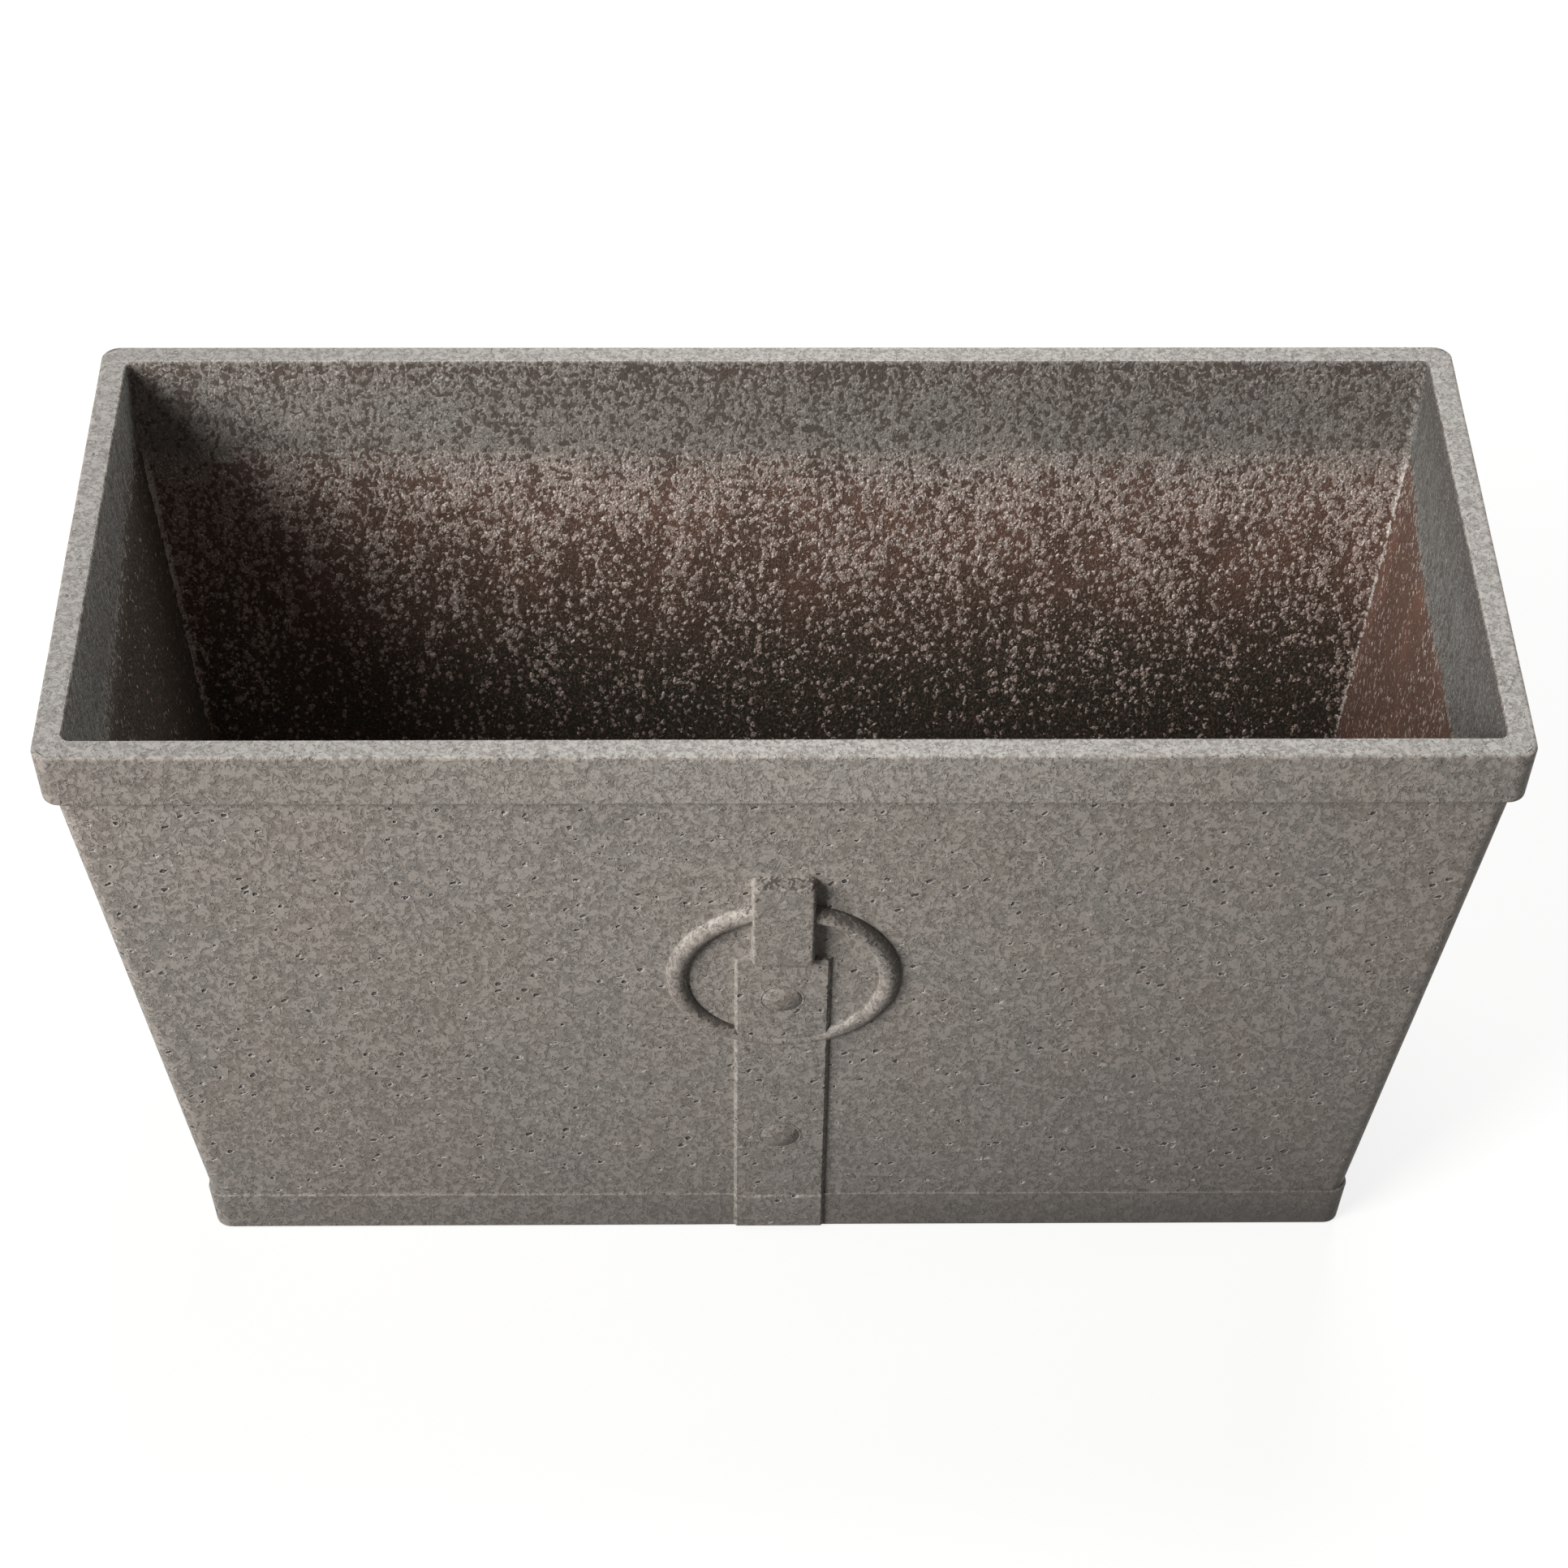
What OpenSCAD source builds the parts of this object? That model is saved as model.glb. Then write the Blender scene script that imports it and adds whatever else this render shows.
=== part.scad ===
// Tapered trough planter moulded in resin, with imitation ironwork on its front
// wall and a lift-out plug in each drain hole.
// The origin is at the middle of the footprint, on the ground. +X runs along the
// trough, -Y is the decorated front and +Z is up. All lengths are millimetres.

/* [Overall] */
// Length of the rim, end to end
rim_w = 610; // [540:1:760]
// Depth of the rim, front to back
rim_d = 277; // [230:1:360]
// Height from the ground to the top of the rim
total_h = 334; // [300:1:420]

/* [Walls] */
// Lean of the four walls away from upright, in degrees
wall_slope = 7.5; // [4:0.5:10]
// Thickness of the walls, measured level
wall_t = 5; // [3:0.5:8]
// Radius of the four upright corners outside
corner_r = 7.5; // [3:0.5:15]
// Radius of the four upright corners inside
inner_corner_r = 4; // [2:0.5:8]
// Depth of the straighter collar inside the rim
collar_h = 50; // [36:1:80]
// Thickness of the floor
floor_t = 5; // [3:0.5:8]
// Height of the floor's underside above the ground
foot_h = 10; // [7:0.5:16]

/* [Rim] */
// Height of the band round the rim
band_h = 28; // [18:1:34]
// How far the band's lower edge stands out from the wall
band_step = 4; // [2.5:0.5:8]
// Lean of the band's face away from upright, in degrees
band_slope = 3.7; // [1:0.1:6]
// Width of the flat top of the rim
rim_face_w = 11.5; // [9:0.5:16]
// Thickness of the rim's top over the wall
rim_top_t = 5; // [3:0.5:8]
// Radius of the rim's long edges
rim_edge_r = 1.5; // [0.5:0.1:2]

/* [Base] */
// Height of the plinth band round the foot
base_h = 24; // [14:1:40]
// How far the plinth band's upper edge stands out from the wall
base_step = 1.2; // [0.8:0.1:3]
// Lean of the plinth band's face away from upright, in degrees
base_slope = 4.4; // [1:0.1:5]
// Width of the weep notch under each short end
weep_w = 30; // [15:1:60]
// Height of the weep notches
weep_h = 4; // [2:0.5:6]
// Thickness of the ribs under the floor
rib_t = 4; // [2:0.5:8]

/* [Front strap] */
// Width of the strap
strap_w = 41; // [36:1:60]
// How far the strap stands out
strap_t = 2; // [1.5:0.1:3]
// How far the strap's upper end lies above the ring's centre, along the wall
strap_lead = 13; // [8:1:30]
// Diameter of the rivet heads
rivet_d = 17.4; // [8:0.2:24]
// How far the rivet heads stand out from the strap
rivet_h = 1.4; // [0.6:0.1:3]
// Distance from the strap's upper end to the upper rivet's centre
rivet_drop = 27.5; // [16:0.5:32]
// Distance from the plinth band to the lower rivet's centre, along the wall
rivet_rise = 48.5; // [16:0.5:60]

/* [Ring and clip] */
// Distance from the rim band to the ring's centre, along the wall
ring_drop = 119; // [100:1:140]
// Outer diameter of the ring
ring_d = 101.6; // [90:0.2:120]
// Thickness of the bar that the ring is bent from
ring_bar_d = 9.6; // [6:0.2:11]
// How much deeper the ring's lowest point is sunk than its highest
ring_sink = 2.3; // [1.5:0.1:2.4]
// Width of the clip over the ring
clip_w = 27.5; // [20:0.5:34]
// How far the clip reaches above the ring's outer edge
clip_rise = 17; // [8:0.5:30]
// Thickness of the clip over the ring's bar
clip_cover = 1.4; // [1:0.1:3]
// Gap between the ring's bar and the clip around it
clip_gap = 0.3; // [0.2:0.05:0.6]
// Radius of the clip's upper corners, seen from the front
clip_corner_r = 2.5; // [1:0.5:6]
// Radius where the clip's face turns in at both ends
clip_bend_r = 2.2; // [1:0.1:3]

/* [Drainage] */
// Distance between the centres of the two drain holes
drain_spacing = 260; // [160:10:300]
// Diameter of the drain holes
drain_d = 25; // [16:1:36]
// Gap between a plug's stem and its hole, all round
plug_clear = 0.1; // [0.05:0.01:0.1]
// How far a plug's flange reaches past its hole, all round
flange_lip = 4.5; // [3:0.5:8]
// Thickness of a plug's flange
flange_t = 2.5; // [1.5:0.5:4]
// How far a plug's stem reaches below the floor
stem_reach = 2; // [1:0.5:4]
// Depth of the lead-in at a stem's lower edge
stem_chamfer = 1; // [0.5:0.1:1.5]
// Diameter of the grip on a plug
grip_d = 11; // [8:0.5:14]
// Height of the grip above the flange
grip_h = 8; // [5:0.5:14]
// Clear distance from a drain hole's edge to the rib beside it
rib_clear = 25; // [12:1:40]

/* [Hidden] */

$fn = 64;
// Steps of an arc at an upright corner, and along an edge
corner_steps = 6;
edge_steps = 3;
// Steps of the arc over half a rivet head
dome_steps = 6;
quarter = [for (i = [0:edge_steps]) 90 * i / edge_steps];
// How far a cut runs past the face that it opens
past = 1;

stone = [0.49, 0.47, 0.44];
stone_worn = [0.44, 0.41, 0.38];
plug_black = [0.10, 0.10, 0.10];

band_z = total_h - band_h;
bend_z = total_h - collar_h;
seat_z = total_h - rim_top_t;
floor_z = foot_h + floor_t;

// Distance of a face inside the rim's outline, at height z
function band_in(z) = (total_h - rim_edge_r - z) * tan(band_slope);
function wall_in(z) = band_in(band_z) + band_step + (band_z - z) * tan(wall_slope);
function base_in(z) = wall_in(base_h) - base_step + (base_h - z) * tan(base_slope);
bend_in = wall_in(bend_z) + wall_t;
function collar_in(z) = rim_face_w + (total_h - z) / collar_h * (bend_in - rim_face_w);

// Height on the front wall, at a distance below the rim band along its slope
function slope_z(drop) = band_z - drop * cos(wall_slope);
function along(z) = z / cos(wall_slope);

ring_z = slope_z(ring_drop);
ring_r = (ring_d - ring_bar_d) / 2;
ring_tilt = asin(ring_sink / (2 * ring_r));
clip_top = ring_d / 2 + clip_rise;
clip_t = ring_bar_d / 2 + clip_gap + clip_cover;
strap_top = strap_lead;
upper_rivet_at = strap_top - rivet_drop;
lower_rivet_at = rivet_rise - along(ring_z - base_h);
dome_r = (pow(rivet_d / 2, 2) + pow(rivet_h, 2)) / (2 * rivet_h);

// Outline of a rounded rectangle that lies inside the rim's outline
function outline(inset, r) = [
    for (corner = [[1, 1, 0], [-1, 1, 90], [-1, -1, 180], [1, -1, 270]])
        for (i = [0:corner_steps])
            let (a = corner[2] + i * 90 / corner_steps)
            [corner[0] * (rim_w / 2 - inset - r) + r * cos(a),
             corner[1] * (rim_d / 2 - inset - r) + r * sin(a)]];

// Closed body through a stack of such outlines, each level being [z, inset, r]
module stack(levels) {
    n = 4 * (corner_steps + 1);
    top = (len(levels) - 1) * n;
    points = [for (l = levels) for (p = outline(l[1], l[2])) [p[0], p[1], l[0]]];
    sides = [for (k = [0:len(levels) - 2]) for (i = [0:n - 1])
        [k * n + i, (k + 1) * n + i, (k + 1) * n + (i + 1) % n, k * n + (i + 1) % n]];
    polyhedron(points, concat(
        [[for (i = [0:n - 1]) i]],
        sides,
        [[for (i = [n - 1:-1:0]) top + i]]));
}

// Solid inside the walls' outer faces between two heights
module wall_block(z0, z1) {
    stack([[z0, wall_in(z0), corner_r], [z1, wall_in(z1), corner_r]]);
}

// Space inside the walls, from the floor up through the collar
module inner_space(z1) {
    floor_in = wall_in(floor_z) + wall_t;
    stack([[floor_z, floor_in, inner_corner_r],
           [bend_z, bend_in, inner_corner_r],
           [z1, collar_in(z1), inner_corner_r]]);
}

// Puts a shape on the front wall: x along the trough, y up the slope from the
// height of the ring's centre, z out of the wall
module on_front(y = 0) {
    translate([0, wall_in(ring_z) - rim_d / 2, ring_z])
        rotate([90 + wall_slope, 0, 0])
            translate([0, y, 0])
                children();
}

// Channel through the ribs of each half and out under its short end. The middle
// rib stays whole.
module weep_notches() {
    start = drain_spacing / 4;
    reach = rim_w / 2 - start;
    for (side = [-1, 1])
        translate([side * (start + reach / 2), 0, (weep_h - past) / 2])
            cube([reach, weep_w, weep_h + past], center = true);
}

module drain_axes() {
    for (side = [-1, 1])
        translate([side * drain_spacing / 2, 0, 0])
            children();
}

module foot_recess() {
    foot_in = wall_in(0) + wall_t;
    under_in = wall_in(foot_h) + wall_t;
    stack([[-past, foot_in + past * tan(wall_slope), inner_corner_r],
           [foot_h, under_in, inner_corner_r]]);
}

module floor_ribs() {
    beside = drain_d / 2 + rib_clear;
    for (x = [0, drain_spacing / 2 - beside, drain_spacing / 2 + beside])
        for (side = x > 0 ? [-1, 1] : [1])
            translate([side * x - rib_t / 2, -rim_d / 2, 0])
                cube([rib_t, rim_d, foot_h]);
}

module tub() {
    color(stone)
    difference() {
        wall_block(0, seat_z);
        inner_space(seat_z + past);
        difference() {
            foot_recess();
            floor_ribs();
        }
        drain_axes()
            translate([0, 0, foot_h - past])
                cylinder(d = drain_d, h = floor_t + 2 * past);
        weep_notches();
    }
}

// Rim: a flat top over the wall and a band that hangs down outside it
module rim_band() {
    r = rim_edge_r;
    low = band_z + r;
    high = total_h - r;
    color(stone)
    difference() {
        stack(concat(
            [for (a = quarter) [low - r * cos(a), band_in(low) + r * (1 - sin(a)), corner_r]],
            [for (a = quarter) [high + r * sin(a), band_in(high) + r * (1 - cos(a)), corner_r]]));
        wall_block(band_z - past, seat_z);
        stack(concat(
            [[seat_z - past, collar_in(seat_z - past), inner_corner_r]],
            [for (a = quarter) [high + r * sin(a), collar_in(high) - r * (1 - cos(a)), inner_corner_r]],
            [[total_h + past, collar_in(high) - r, inner_corner_r]]));
    }
}

module base_band() {
    color(stone)
    difference() {
        stack([[0, base_in(0), corner_r], [base_h, base_in(base_h), corner_r]]);
        wall_block(-past, base_h + past);
        weep_notches();
    }
}

// Side view of the strap, as [y, z]: down the wall, out over the plinth band
// and on to the ground
module front_strap() {
    wall_out = strap_t / cos(wall_slope);
    base_out = strap_t / cos(base_slope);
    top_z = ring_z + strap_top * cos(wall_slope);
    wall_y = function (z) wall_in(z) - rim_d / 2;
    base_y = function (z) base_in(z) - rim_d / 2;
    side_view = [
        [base_y(0), 0],
        [base_y(base_h), base_h],
        [wall_y(base_h), base_h],
        [wall_y(top_z), top_z],
        [wall_y(top_z) - strap_t * cos(wall_slope), top_z - strap_t * sin(wall_slope)],
        [wall_y(base_h) - wall_out, base_h],
        [base_y(base_h) - base_out, base_h],
        [base_y(0) - base_out, 0]];
    color(stone)
    translate([-strap_w / 2, 0, 0])
        rotate([90, 0, 90])
            linear_extrude(strap_w)
                polygon(side_view);
}

// The bar of the ring, bent to a full circle and leaning into the wall below
module ring_bar(bar_d) {
    rotate([ring_tilt, 0, 0])
        translate([0, 0, -ring_sink / 2])
            rotate_extrude()
                translate([ring_r, 0])
                    circle(d = bar_d);
}

// Side view of the clip, as [distance up the wall, distance out of it]
module ring_clip() {
    r = clip_bend_r;
    side_view = concat(
        [[strap_top, 0], [clip_top, 0]],
        [for (a = quarter) [clip_top - r + r * cos(a), clip_t - r + r * sin(a)]],
        [for (a = quarter) [strap_top + r - r * sin(a), clip_t - r + r * cos(a)]]);
    c = clip_corner_r;
    color(stone)
    on_front()
        difference() {
            intersection() {
                translate([-clip_w / 2, 0, 0])
                    rotate([90, 0, 90])
                        linear_extrude(clip_w)
                            polygon(side_view);
                union() {
                    for (side = [-1, 1])
                        translate([side * (clip_w / 2 - c), clip_top - c, -past])
                            cylinder(r = c, h = clip_t + 2 * past);
                    translate([c - clip_w / 2, strap_top, -past])
                        cube([clip_w - 2 * c, clip_top - strap_top, clip_t + 2 * past]);
                    translate([-clip_w / 2, strap_top, -past])
                        cube([clip_w, clip_top - strap_top - c, clip_t + 2 * past]);
                }
            }
            ring_bar(ring_bar_d + 2 * clip_gap);
        }
}

module ring_pull() {
    color(stone_worn)
    on_front()
        difference() {
            ring_bar(ring_bar_d);
            translate([-ring_d, -ring_d, -2 * ring_bar_d])
                cube([2 * ring_d, 2 * ring_d, 2 * ring_bar_d]);
            translate([-strap_w / 2, strap_top - 2 * ring_d, -ring_bar_d])
                cube([strap_w, 2 * ring_d, ring_bar_d + strap_t]);
        }
}

module rivet(y) {
    spread = asin(rivet_d / 2 / dome_r);
    half_view = concat(
        [[0, 0]],
        [for (i = [dome_steps:-1:0])
            let (a = spread * i / dome_steps)
            [dome_r * sin(a), dome_r * cos(a) - dome_r + rivet_h]]);
    color(stone)
    on_front(y)
        translate([0, 0, strap_t])
            rotate_extrude()
                polygon(half_view);
}

module upper_rivet() {
    rivet(upper_rivet_at);
}

module lower_rivet() {
    rivet(lower_rivet_at);
}

module drain_plug() {
    stem_d = drain_d - 2 * plug_clear;
    stem_h = floor_t + stem_reach;
    half_view = [
        [0, -stem_h],
        [stem_d / 2 - stem_chamfer, -stem_h],
        [stem_d / 2, stem_chamfer - stem_h],
        [stem_d / 2, 0],
        [drain_d / 2 + flange_lip, 0],
        [drain_d / 2 + flange_lip, flange_t],
        [grip_d / 2, flange_t],
        [grip_d / 2, flange_t + grip_h],
        [0, flange_t + grip_h]];
    color(plug_black)
    translate([0, 0, floor_z])
        rotate_extrude()
            polygon(half_view);
}

module drain_plug_left() {
    translate([-drain_spacing / 2, 0, 0])
        drain_plug();
}

module drain_plug_right() {
    translate([drain_spacing / 2, 0, 0])
        drain_plug();
}

tub();
rim_band();
base_band();
front_strap();
ring_clip();
ring_pull();
upper_rivet();
lower_rivet();
drain_plug_left();
drain_plug_right();
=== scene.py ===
# %% [markdown]
# # A trough planter in sprayed resin
# The real planter is one moulding of brown resin. Its outside was sprayed with a
# mottled stone-grey finish, and some of that spray drifted down the inside. The
# front wall carries imitation ironwork in relief. Each part of the CAD model gets
# one finely rounded mesh here, worked out with numpy from the same measures, and
# all of them share one finish, so that no seam shows between them. The CAD solids
# have the same shapes with sharp edges. Bevels could round them, but a grid that
# follows each cross-section gives clean light on every edge.

import math
from statistics import NormalDist

import bmesh
import bpy
import numpy as np
from mathutils import Matrix, Vector


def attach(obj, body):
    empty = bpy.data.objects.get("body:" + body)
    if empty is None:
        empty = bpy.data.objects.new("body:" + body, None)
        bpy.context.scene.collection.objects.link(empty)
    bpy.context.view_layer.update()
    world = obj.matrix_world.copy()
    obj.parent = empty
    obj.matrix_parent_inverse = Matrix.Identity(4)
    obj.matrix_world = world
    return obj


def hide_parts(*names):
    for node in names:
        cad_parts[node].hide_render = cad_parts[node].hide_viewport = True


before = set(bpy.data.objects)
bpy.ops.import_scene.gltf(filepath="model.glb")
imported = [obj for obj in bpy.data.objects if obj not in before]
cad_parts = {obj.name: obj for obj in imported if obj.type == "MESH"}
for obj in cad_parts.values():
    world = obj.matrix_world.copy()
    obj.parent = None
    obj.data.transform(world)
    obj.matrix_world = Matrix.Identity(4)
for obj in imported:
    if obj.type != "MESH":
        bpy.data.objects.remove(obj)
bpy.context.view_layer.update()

# %% [markdown]
# ## The view
# The picture was taken from in front and well above, with a long lens, so the
# sides hardly converge. The camera has the place, the turn and the focal length
# that make the corners of the rim and of the foot fall where they do in the
# picture, which is square.

# %% Camera
MM = 0.001
SENSOR_MM = 36.0
LENS_MM = 93.80
PITCH, YAW, ROLL = np.radians([42.607, -1.257, 0.732])
EYE = np.array([-27.71, -1356.88, 1440.36]) * MM

cos, sin = np.cos, np.sin
tilt_down = np.array([[1, 0, 0], [0, sin(PITCH), cos(PITCH)], [0, cos(PITCH), -sin(PITCH)]])
turn = np.array([[cos(YAW), sin(YAW), 0], [-sin(YAW), cos(YAW), 0], [0, 0, 1]])
lean = np.array([[cos(ROLL), sin(ROLL), 0], [-sin(ROLL), cos(ROLL), 0], [0, 0, 1]])
right, up, ahead = lean @ tilt_down @ turn

camera = bpy.data.objects.new("camera", bpy.data.cameras.new("camera"))
camera.data.sensor_width = SENSOR_MM
camera.data.lens = LENS_MM
camera.data.clip_end = 30
camera.matrix_world = Matrix(
    [[right[i], up[i], -ahead[i], EYE[i]] for i in range(3)] + [[0, 0, 0, 1]]
)
bpy.context.scene.collection.objects.link(camera)
bpy.context.scene.camera = camera
print("camera at", EYE.round(3), "looking along", ahead.round(3))

# %% [markdown]
# ## The measures
# The meshes repeat the measures of the CAD model, in millimetres. "Inset" is the
# level distance of a face inside the outline of the rim. The walls lean out by
# 7.5 degrees, the band round the rim by 3.7 and the plinth by 4.4, and inside, a
# straighter collar runs from the rim down to a bend.

# %% Measures
RIM_W, RIM_D, TOTAL_H = 610.0, 277.0, 334.0
WALL_T, CORNER_R, INNER_CORNER_R = 5.0, 7.5, 4.0
COLLAR_H, FLOOR_T, FOOT_H = 50.0, 5.0, 10.0
BAND_H, BAND_STEP, RIM_FACE_W, RIM_TOP_T, RIM_EDGE_R = 28.0, 4.0, 11.5, 5.0, 1.5
BASE_H, BASE_STEP, WEEP_W, WEEP_H, RIB_T = 24.0, 1.2, 30.0, 4.0, 4.0
WALL_LEAN, BAND_LEAN, BASE_LEAN = np.radians([7.5, 3.7, 4.4])
BAND_Z = TOTAL_H - BAND_H
BEND_Z = TOTAL_H - COLLAR_H
SEAT_Z = TOTAL_H - RIM_TOP_T
FLOOR_Z = FOOT_H + FLOOR_T


def band_in(z):
    """Inset of the band round the rim: it grows downwards with the tangent of its lean."""
    return (TOTAL_H - RIM_EDGE_R - z) * np.tan(BAND_LEAN)


def wall_in(z):
    """Inset of the wall's outer face: the band's lower edge, a step, then the wall's lean."""
    return band_in(BAND_Z) + BAND_STEP + (BAND_Z - z) * np.tan(WALL_LEAN)


def base_in(z):
    """Inset of the plinth's face: a step outside the wall at its top, then its own lean."""
    return wall_in(BASE_H) - BASE_STEP + (BASE_H - z) * np.tan(BASE_LEAN)


BEND_IN = wall_in(BEND_Z) + WALL_T


def collar_in(z):
    """Inset of the collar's inner face: a straight line from the rim's top to the bend."""
    return RIM_FACE_W + (TOTAL_H - z) / COLLAR_H * (BEND_IN - RIM_FACE_W)


print("wall inset at the band, the bend and the ground:",
      [round(float(wall_in(z)), 2) for z in (BAND_Z, BEND_Z, 0)])

# %% [markdown]
# ## One path for every ring
# The tub, the rim and the plinth are all a cross-section carried once round the
# same rounded rectangle. So one path serves them all. It starts at the middle of
# the front and runs round in equal steps, with closer steps in the corners. At any
# inset and corner radius, a point of the path is the corner's centre, scaled to
# where it stands along its side, plus the radius in the direction it faces.

# %% The path round the planter
SPACING = 5.0
CORNER_STEPS = 12
straight_x = RIM_W / 2 - wall_in(0) - CORNER_R
straight_y = RIM_D / 2 - wall_in(0) - CORNER_R
along_x = np.linspace(0, 1, round(straight_x / SPACING) + 1)
weep_edge = WEEP_W / 2 / straight_y
weep_side = 0.2 / straight_y
along_y = np.union1d(
    np.linspace(-1, 1, round(2 * straight_y / SPACING) + 1),
    [-weep_edge - weep_side, -weep_edge, weep_edge, weep_edge + weep_side],
)
arc = np.linspace(0, np.pi / 2, CORNER_STEPS + 1)[1:-1]
one = np.ones_like
zero = np.zeros_like

# For each column: how far along x and y its centre lies (-1 to 1), and its direction
quarter_runs = [
    (along_x, -one(along_x), zero(along_x) - np.pi / 2),
    (one(arc), -one(arc), arc - np.pi / 2),
    (one(along_y), along_y, zero(along_y)),
    (one(arc), one(arc), arc),
    (along_x[::-1], one(along_x), zero(along_x) + np.pi / 2),
]
half_x, half_y, half_a = (np.concatenate(parts) for parts in zip(*quarter_runs))
path_x = np.concatenate([half_x, -half_x[1:-1]])
path_y = np.concatenate([half_y, -half_y[1:-1]])
path_a = np.concatenate([half_a, half_a[1:-1] + np.pi])
HALF = len(half_x) - 1
print("columns round the planter:", len(path_x))


def outline(inset, r):
    """Rows of points round the planter, one row for each inset and corner radius:
    x = centre's share of (half width - inset - r) + r cos a, and y the same with sin a."""
    inset, r = np.broadcast_arrays(np.atleast_1d(inset)[:, None], np.atleast_1d(r)[:, None])
    x = path_x * (RIM_W / 2 - inset - r) + r * np.cos(path_a)
    y = path_y * (RIM_D / 2 - inset - r) + r * np.sin(path_a)
    return x, y


def carry_round(section):
    """Carries a cross-section round the planter. Each row of section is (inset, z,
    corner radius), and the result is a grid of points: rows along the section,
    columns round the path."""
    inset, z, r = np.asarray(section, float).T
    x, y = outline(inset, r)
    return np.stack([x, y, np.broadcast_to(z[:, None], x.shape)], axis=-1)


# %% [markdown]
# ## From a grid to a mesh
# A grid of points becomes a mesh of quads between neighbouring rows and columns.
# Grids that meet edge to edge are welded. Edges sharper than 35 degrees are marked,
# so that flat faces stay flat beside the rounded ones, and the faces are turned
# outwards once everything is welded.

# %% Mesh helpers
SHARP = math.radians(35)
WELD = 0.02 * MM


def quads(rows, columns, close_rows, close_columns):
    """Corner numbers of all quads of a grid: (i, j), (i, j+1), (i+1, j+1), (i+1, j),
    counted round where a direction is closed."""
    i = np.arange(rows if close_rows else rows - 1)[:, None]
    j = np.arange(columns if close_columns else columns - 1)[None, :]
    i2, j2 = (i + 1) % rows, (j + 1) % columns
    corners = [i * columns + j, i * columns + j2, i2 * columns + j2, i2 * columns + j]
    return np.stack([np.broadcast_to(c, (i.size, j.size)) for c in corners], -1).reshape(-1, 4)


def mesh_piece(name, grids):
    """One mesh from grids of points in millimetres, each given as (points, rows
    closed, columns closed). Doubles are merged and faces turned outwards."""
    points, faces, start = [], [], 0
    for grid, close_rows, close_columns in grids:
        faces.append(quads(grid.shape[0], grid.shape[1], close_rows, close_columns) + start)
        points.append(grid.reshape(-1, 3) * MM)
        start += grid.shape[0] * grid.shape[1]
    mesh = bpy.data.meshes.new(name)
    mesh.from_pydata(np.concatenate(points).tolist(), [], np.concatenate(faces).tolist())
    work = bmesh.new()
    work.from_mesh(mesh)
    bmesh.ops.remove_doubles(work, verts=work.verts, dist=WELD)
    bmesh.ops.dissolve_degenerate(work, edges=work.edges, dist=WELD / 10)
    bmesh.ops.recalc_face_normals(work, faces=work.faces)
    open_edges = sum(1 for e in work.edges if not e.is_manifold)
    work.to_mesh(mesh)
    work.free()
    mesh.polygons.foreach_set("use_smooth", np.ones(len(mesh.polygons), bool))
    mesh.set_sharp_from_angle(angle=SHARP)
    piece = bpy.data.objects.new(name, mesh)
    bpy.context.scene.collection.objects.link(piece)
    print(f"{name}: {len(mesh.vertices)} points, {len(mesh.polygons)} faces,"
          f" {open_edges} open edges")
    return piece


def read_points(piece, what):
    """Rows of three for all points of a piece: "co", their places in metres, or
    "normal", the ways they face."""
    flat = np.empty(len(piece.data.vertices) * 3)
    piece.data.vertices.foreach_get(what, flat)
    return flat.reshape(-1, 3)


print("faces that meet at more than", round(math.degrees(SHARP)), "degrees keep a sharp edge")


# %% [markdown]
# ## Rounded edges and soft waves
# No edge of a moulding is sharp. An arc between two directions, as a few rows of
# the cross-section, rounds each one, and a row close beside the arc keeps the flat
# face next to it flat in the light. Moulded resin is never dead flat either: a sum
# of a few long waves moves the faces inwards, by a quarter of a millimetre at most.

# %% Arcs and waves
ARC_STEPS = 5
BESIDE = 0.5
WALL_WAVE, PLINTH_WAVE, WAVE_SEED = 0.25, 0.15, 11


def arc_points(centre, r, start, end, steps=ARC_STEPS):
    """Points of a section on an arc: centre + r (cos, sin) for angles in degrees."""
    a = np.radians(np.linspace(start, end, steps + 1))
    return np.stack([centre[0] + r * np.cos(a), centre[1] + r * np.sin(a)], axis=-1)


def section_of(*parts):
    """A cross-section from parts, each given as (corner radius, runs of (inset, z)
    rows): all rows in order, with their part's radius as the third number."""
    runs = [(np.asarray(rows, float), r) for r, *runs in parts for rows in runs]
    return np.concatenate([np.column_stack([rows, np.full(len(rows), r)]) for rows, r in runs])


def run(face, z0, z1, step=6.0):
    """Rows (inset, z) down or up a straight face, with a row close to each end."""
    direction = np.sign(z1 - z0)
    inner = np.linspace(z0 + direction * BESIDE, z1 - direction * BESIDE,
                        max(2, round(abs(z1 - z0) / step)))
    z = np.concatenate([[z0], inner, [z1]])
    return np.stack([face(z), z], axis=-1)


def waves(points, shortest, longest, seed, count=14):
    """A smooth random height from -1 to 1 at each point: the mean of sine waves of
    random direction and phase, with lengths between the two given."""
    rng = np.random.default_rng(seed)
    direction = rng.normal(size=(count, 3))
    direction /= np.linalg.norm(direction, axis=1, keepdims=True)
    length = rng.uniform(shortest, longest, count)
    phase = rng.uniform(0, 2 * np.pi, count)
    turns = points @ (direction / length[:, None]).T
    return np.sin(2 * np.pi * turns + phase).mean(-1) * math.sqrt(count / 2) / 2


def soften(grid, depth, shortest=35.0, longest=110.0):
    """Moves points level towards the middle of the planter by 0 to depth, as the
    waves say. The movement is inwards only, so the outline never grows."""
    share = 0.5 + 0.5 * np.clip(waves(grid, shortest, longest, WAVE_SEED), -1, 1)
    level = grid[..., :2]
    from_middle = level / np.maximum(np.linalg.norm(level, axis=-1, keepdims=True), 1)
    moved = grid.copy()
    moved[..., :2] -= from_middle * (depth * share)[..., None]
    return moved


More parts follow.
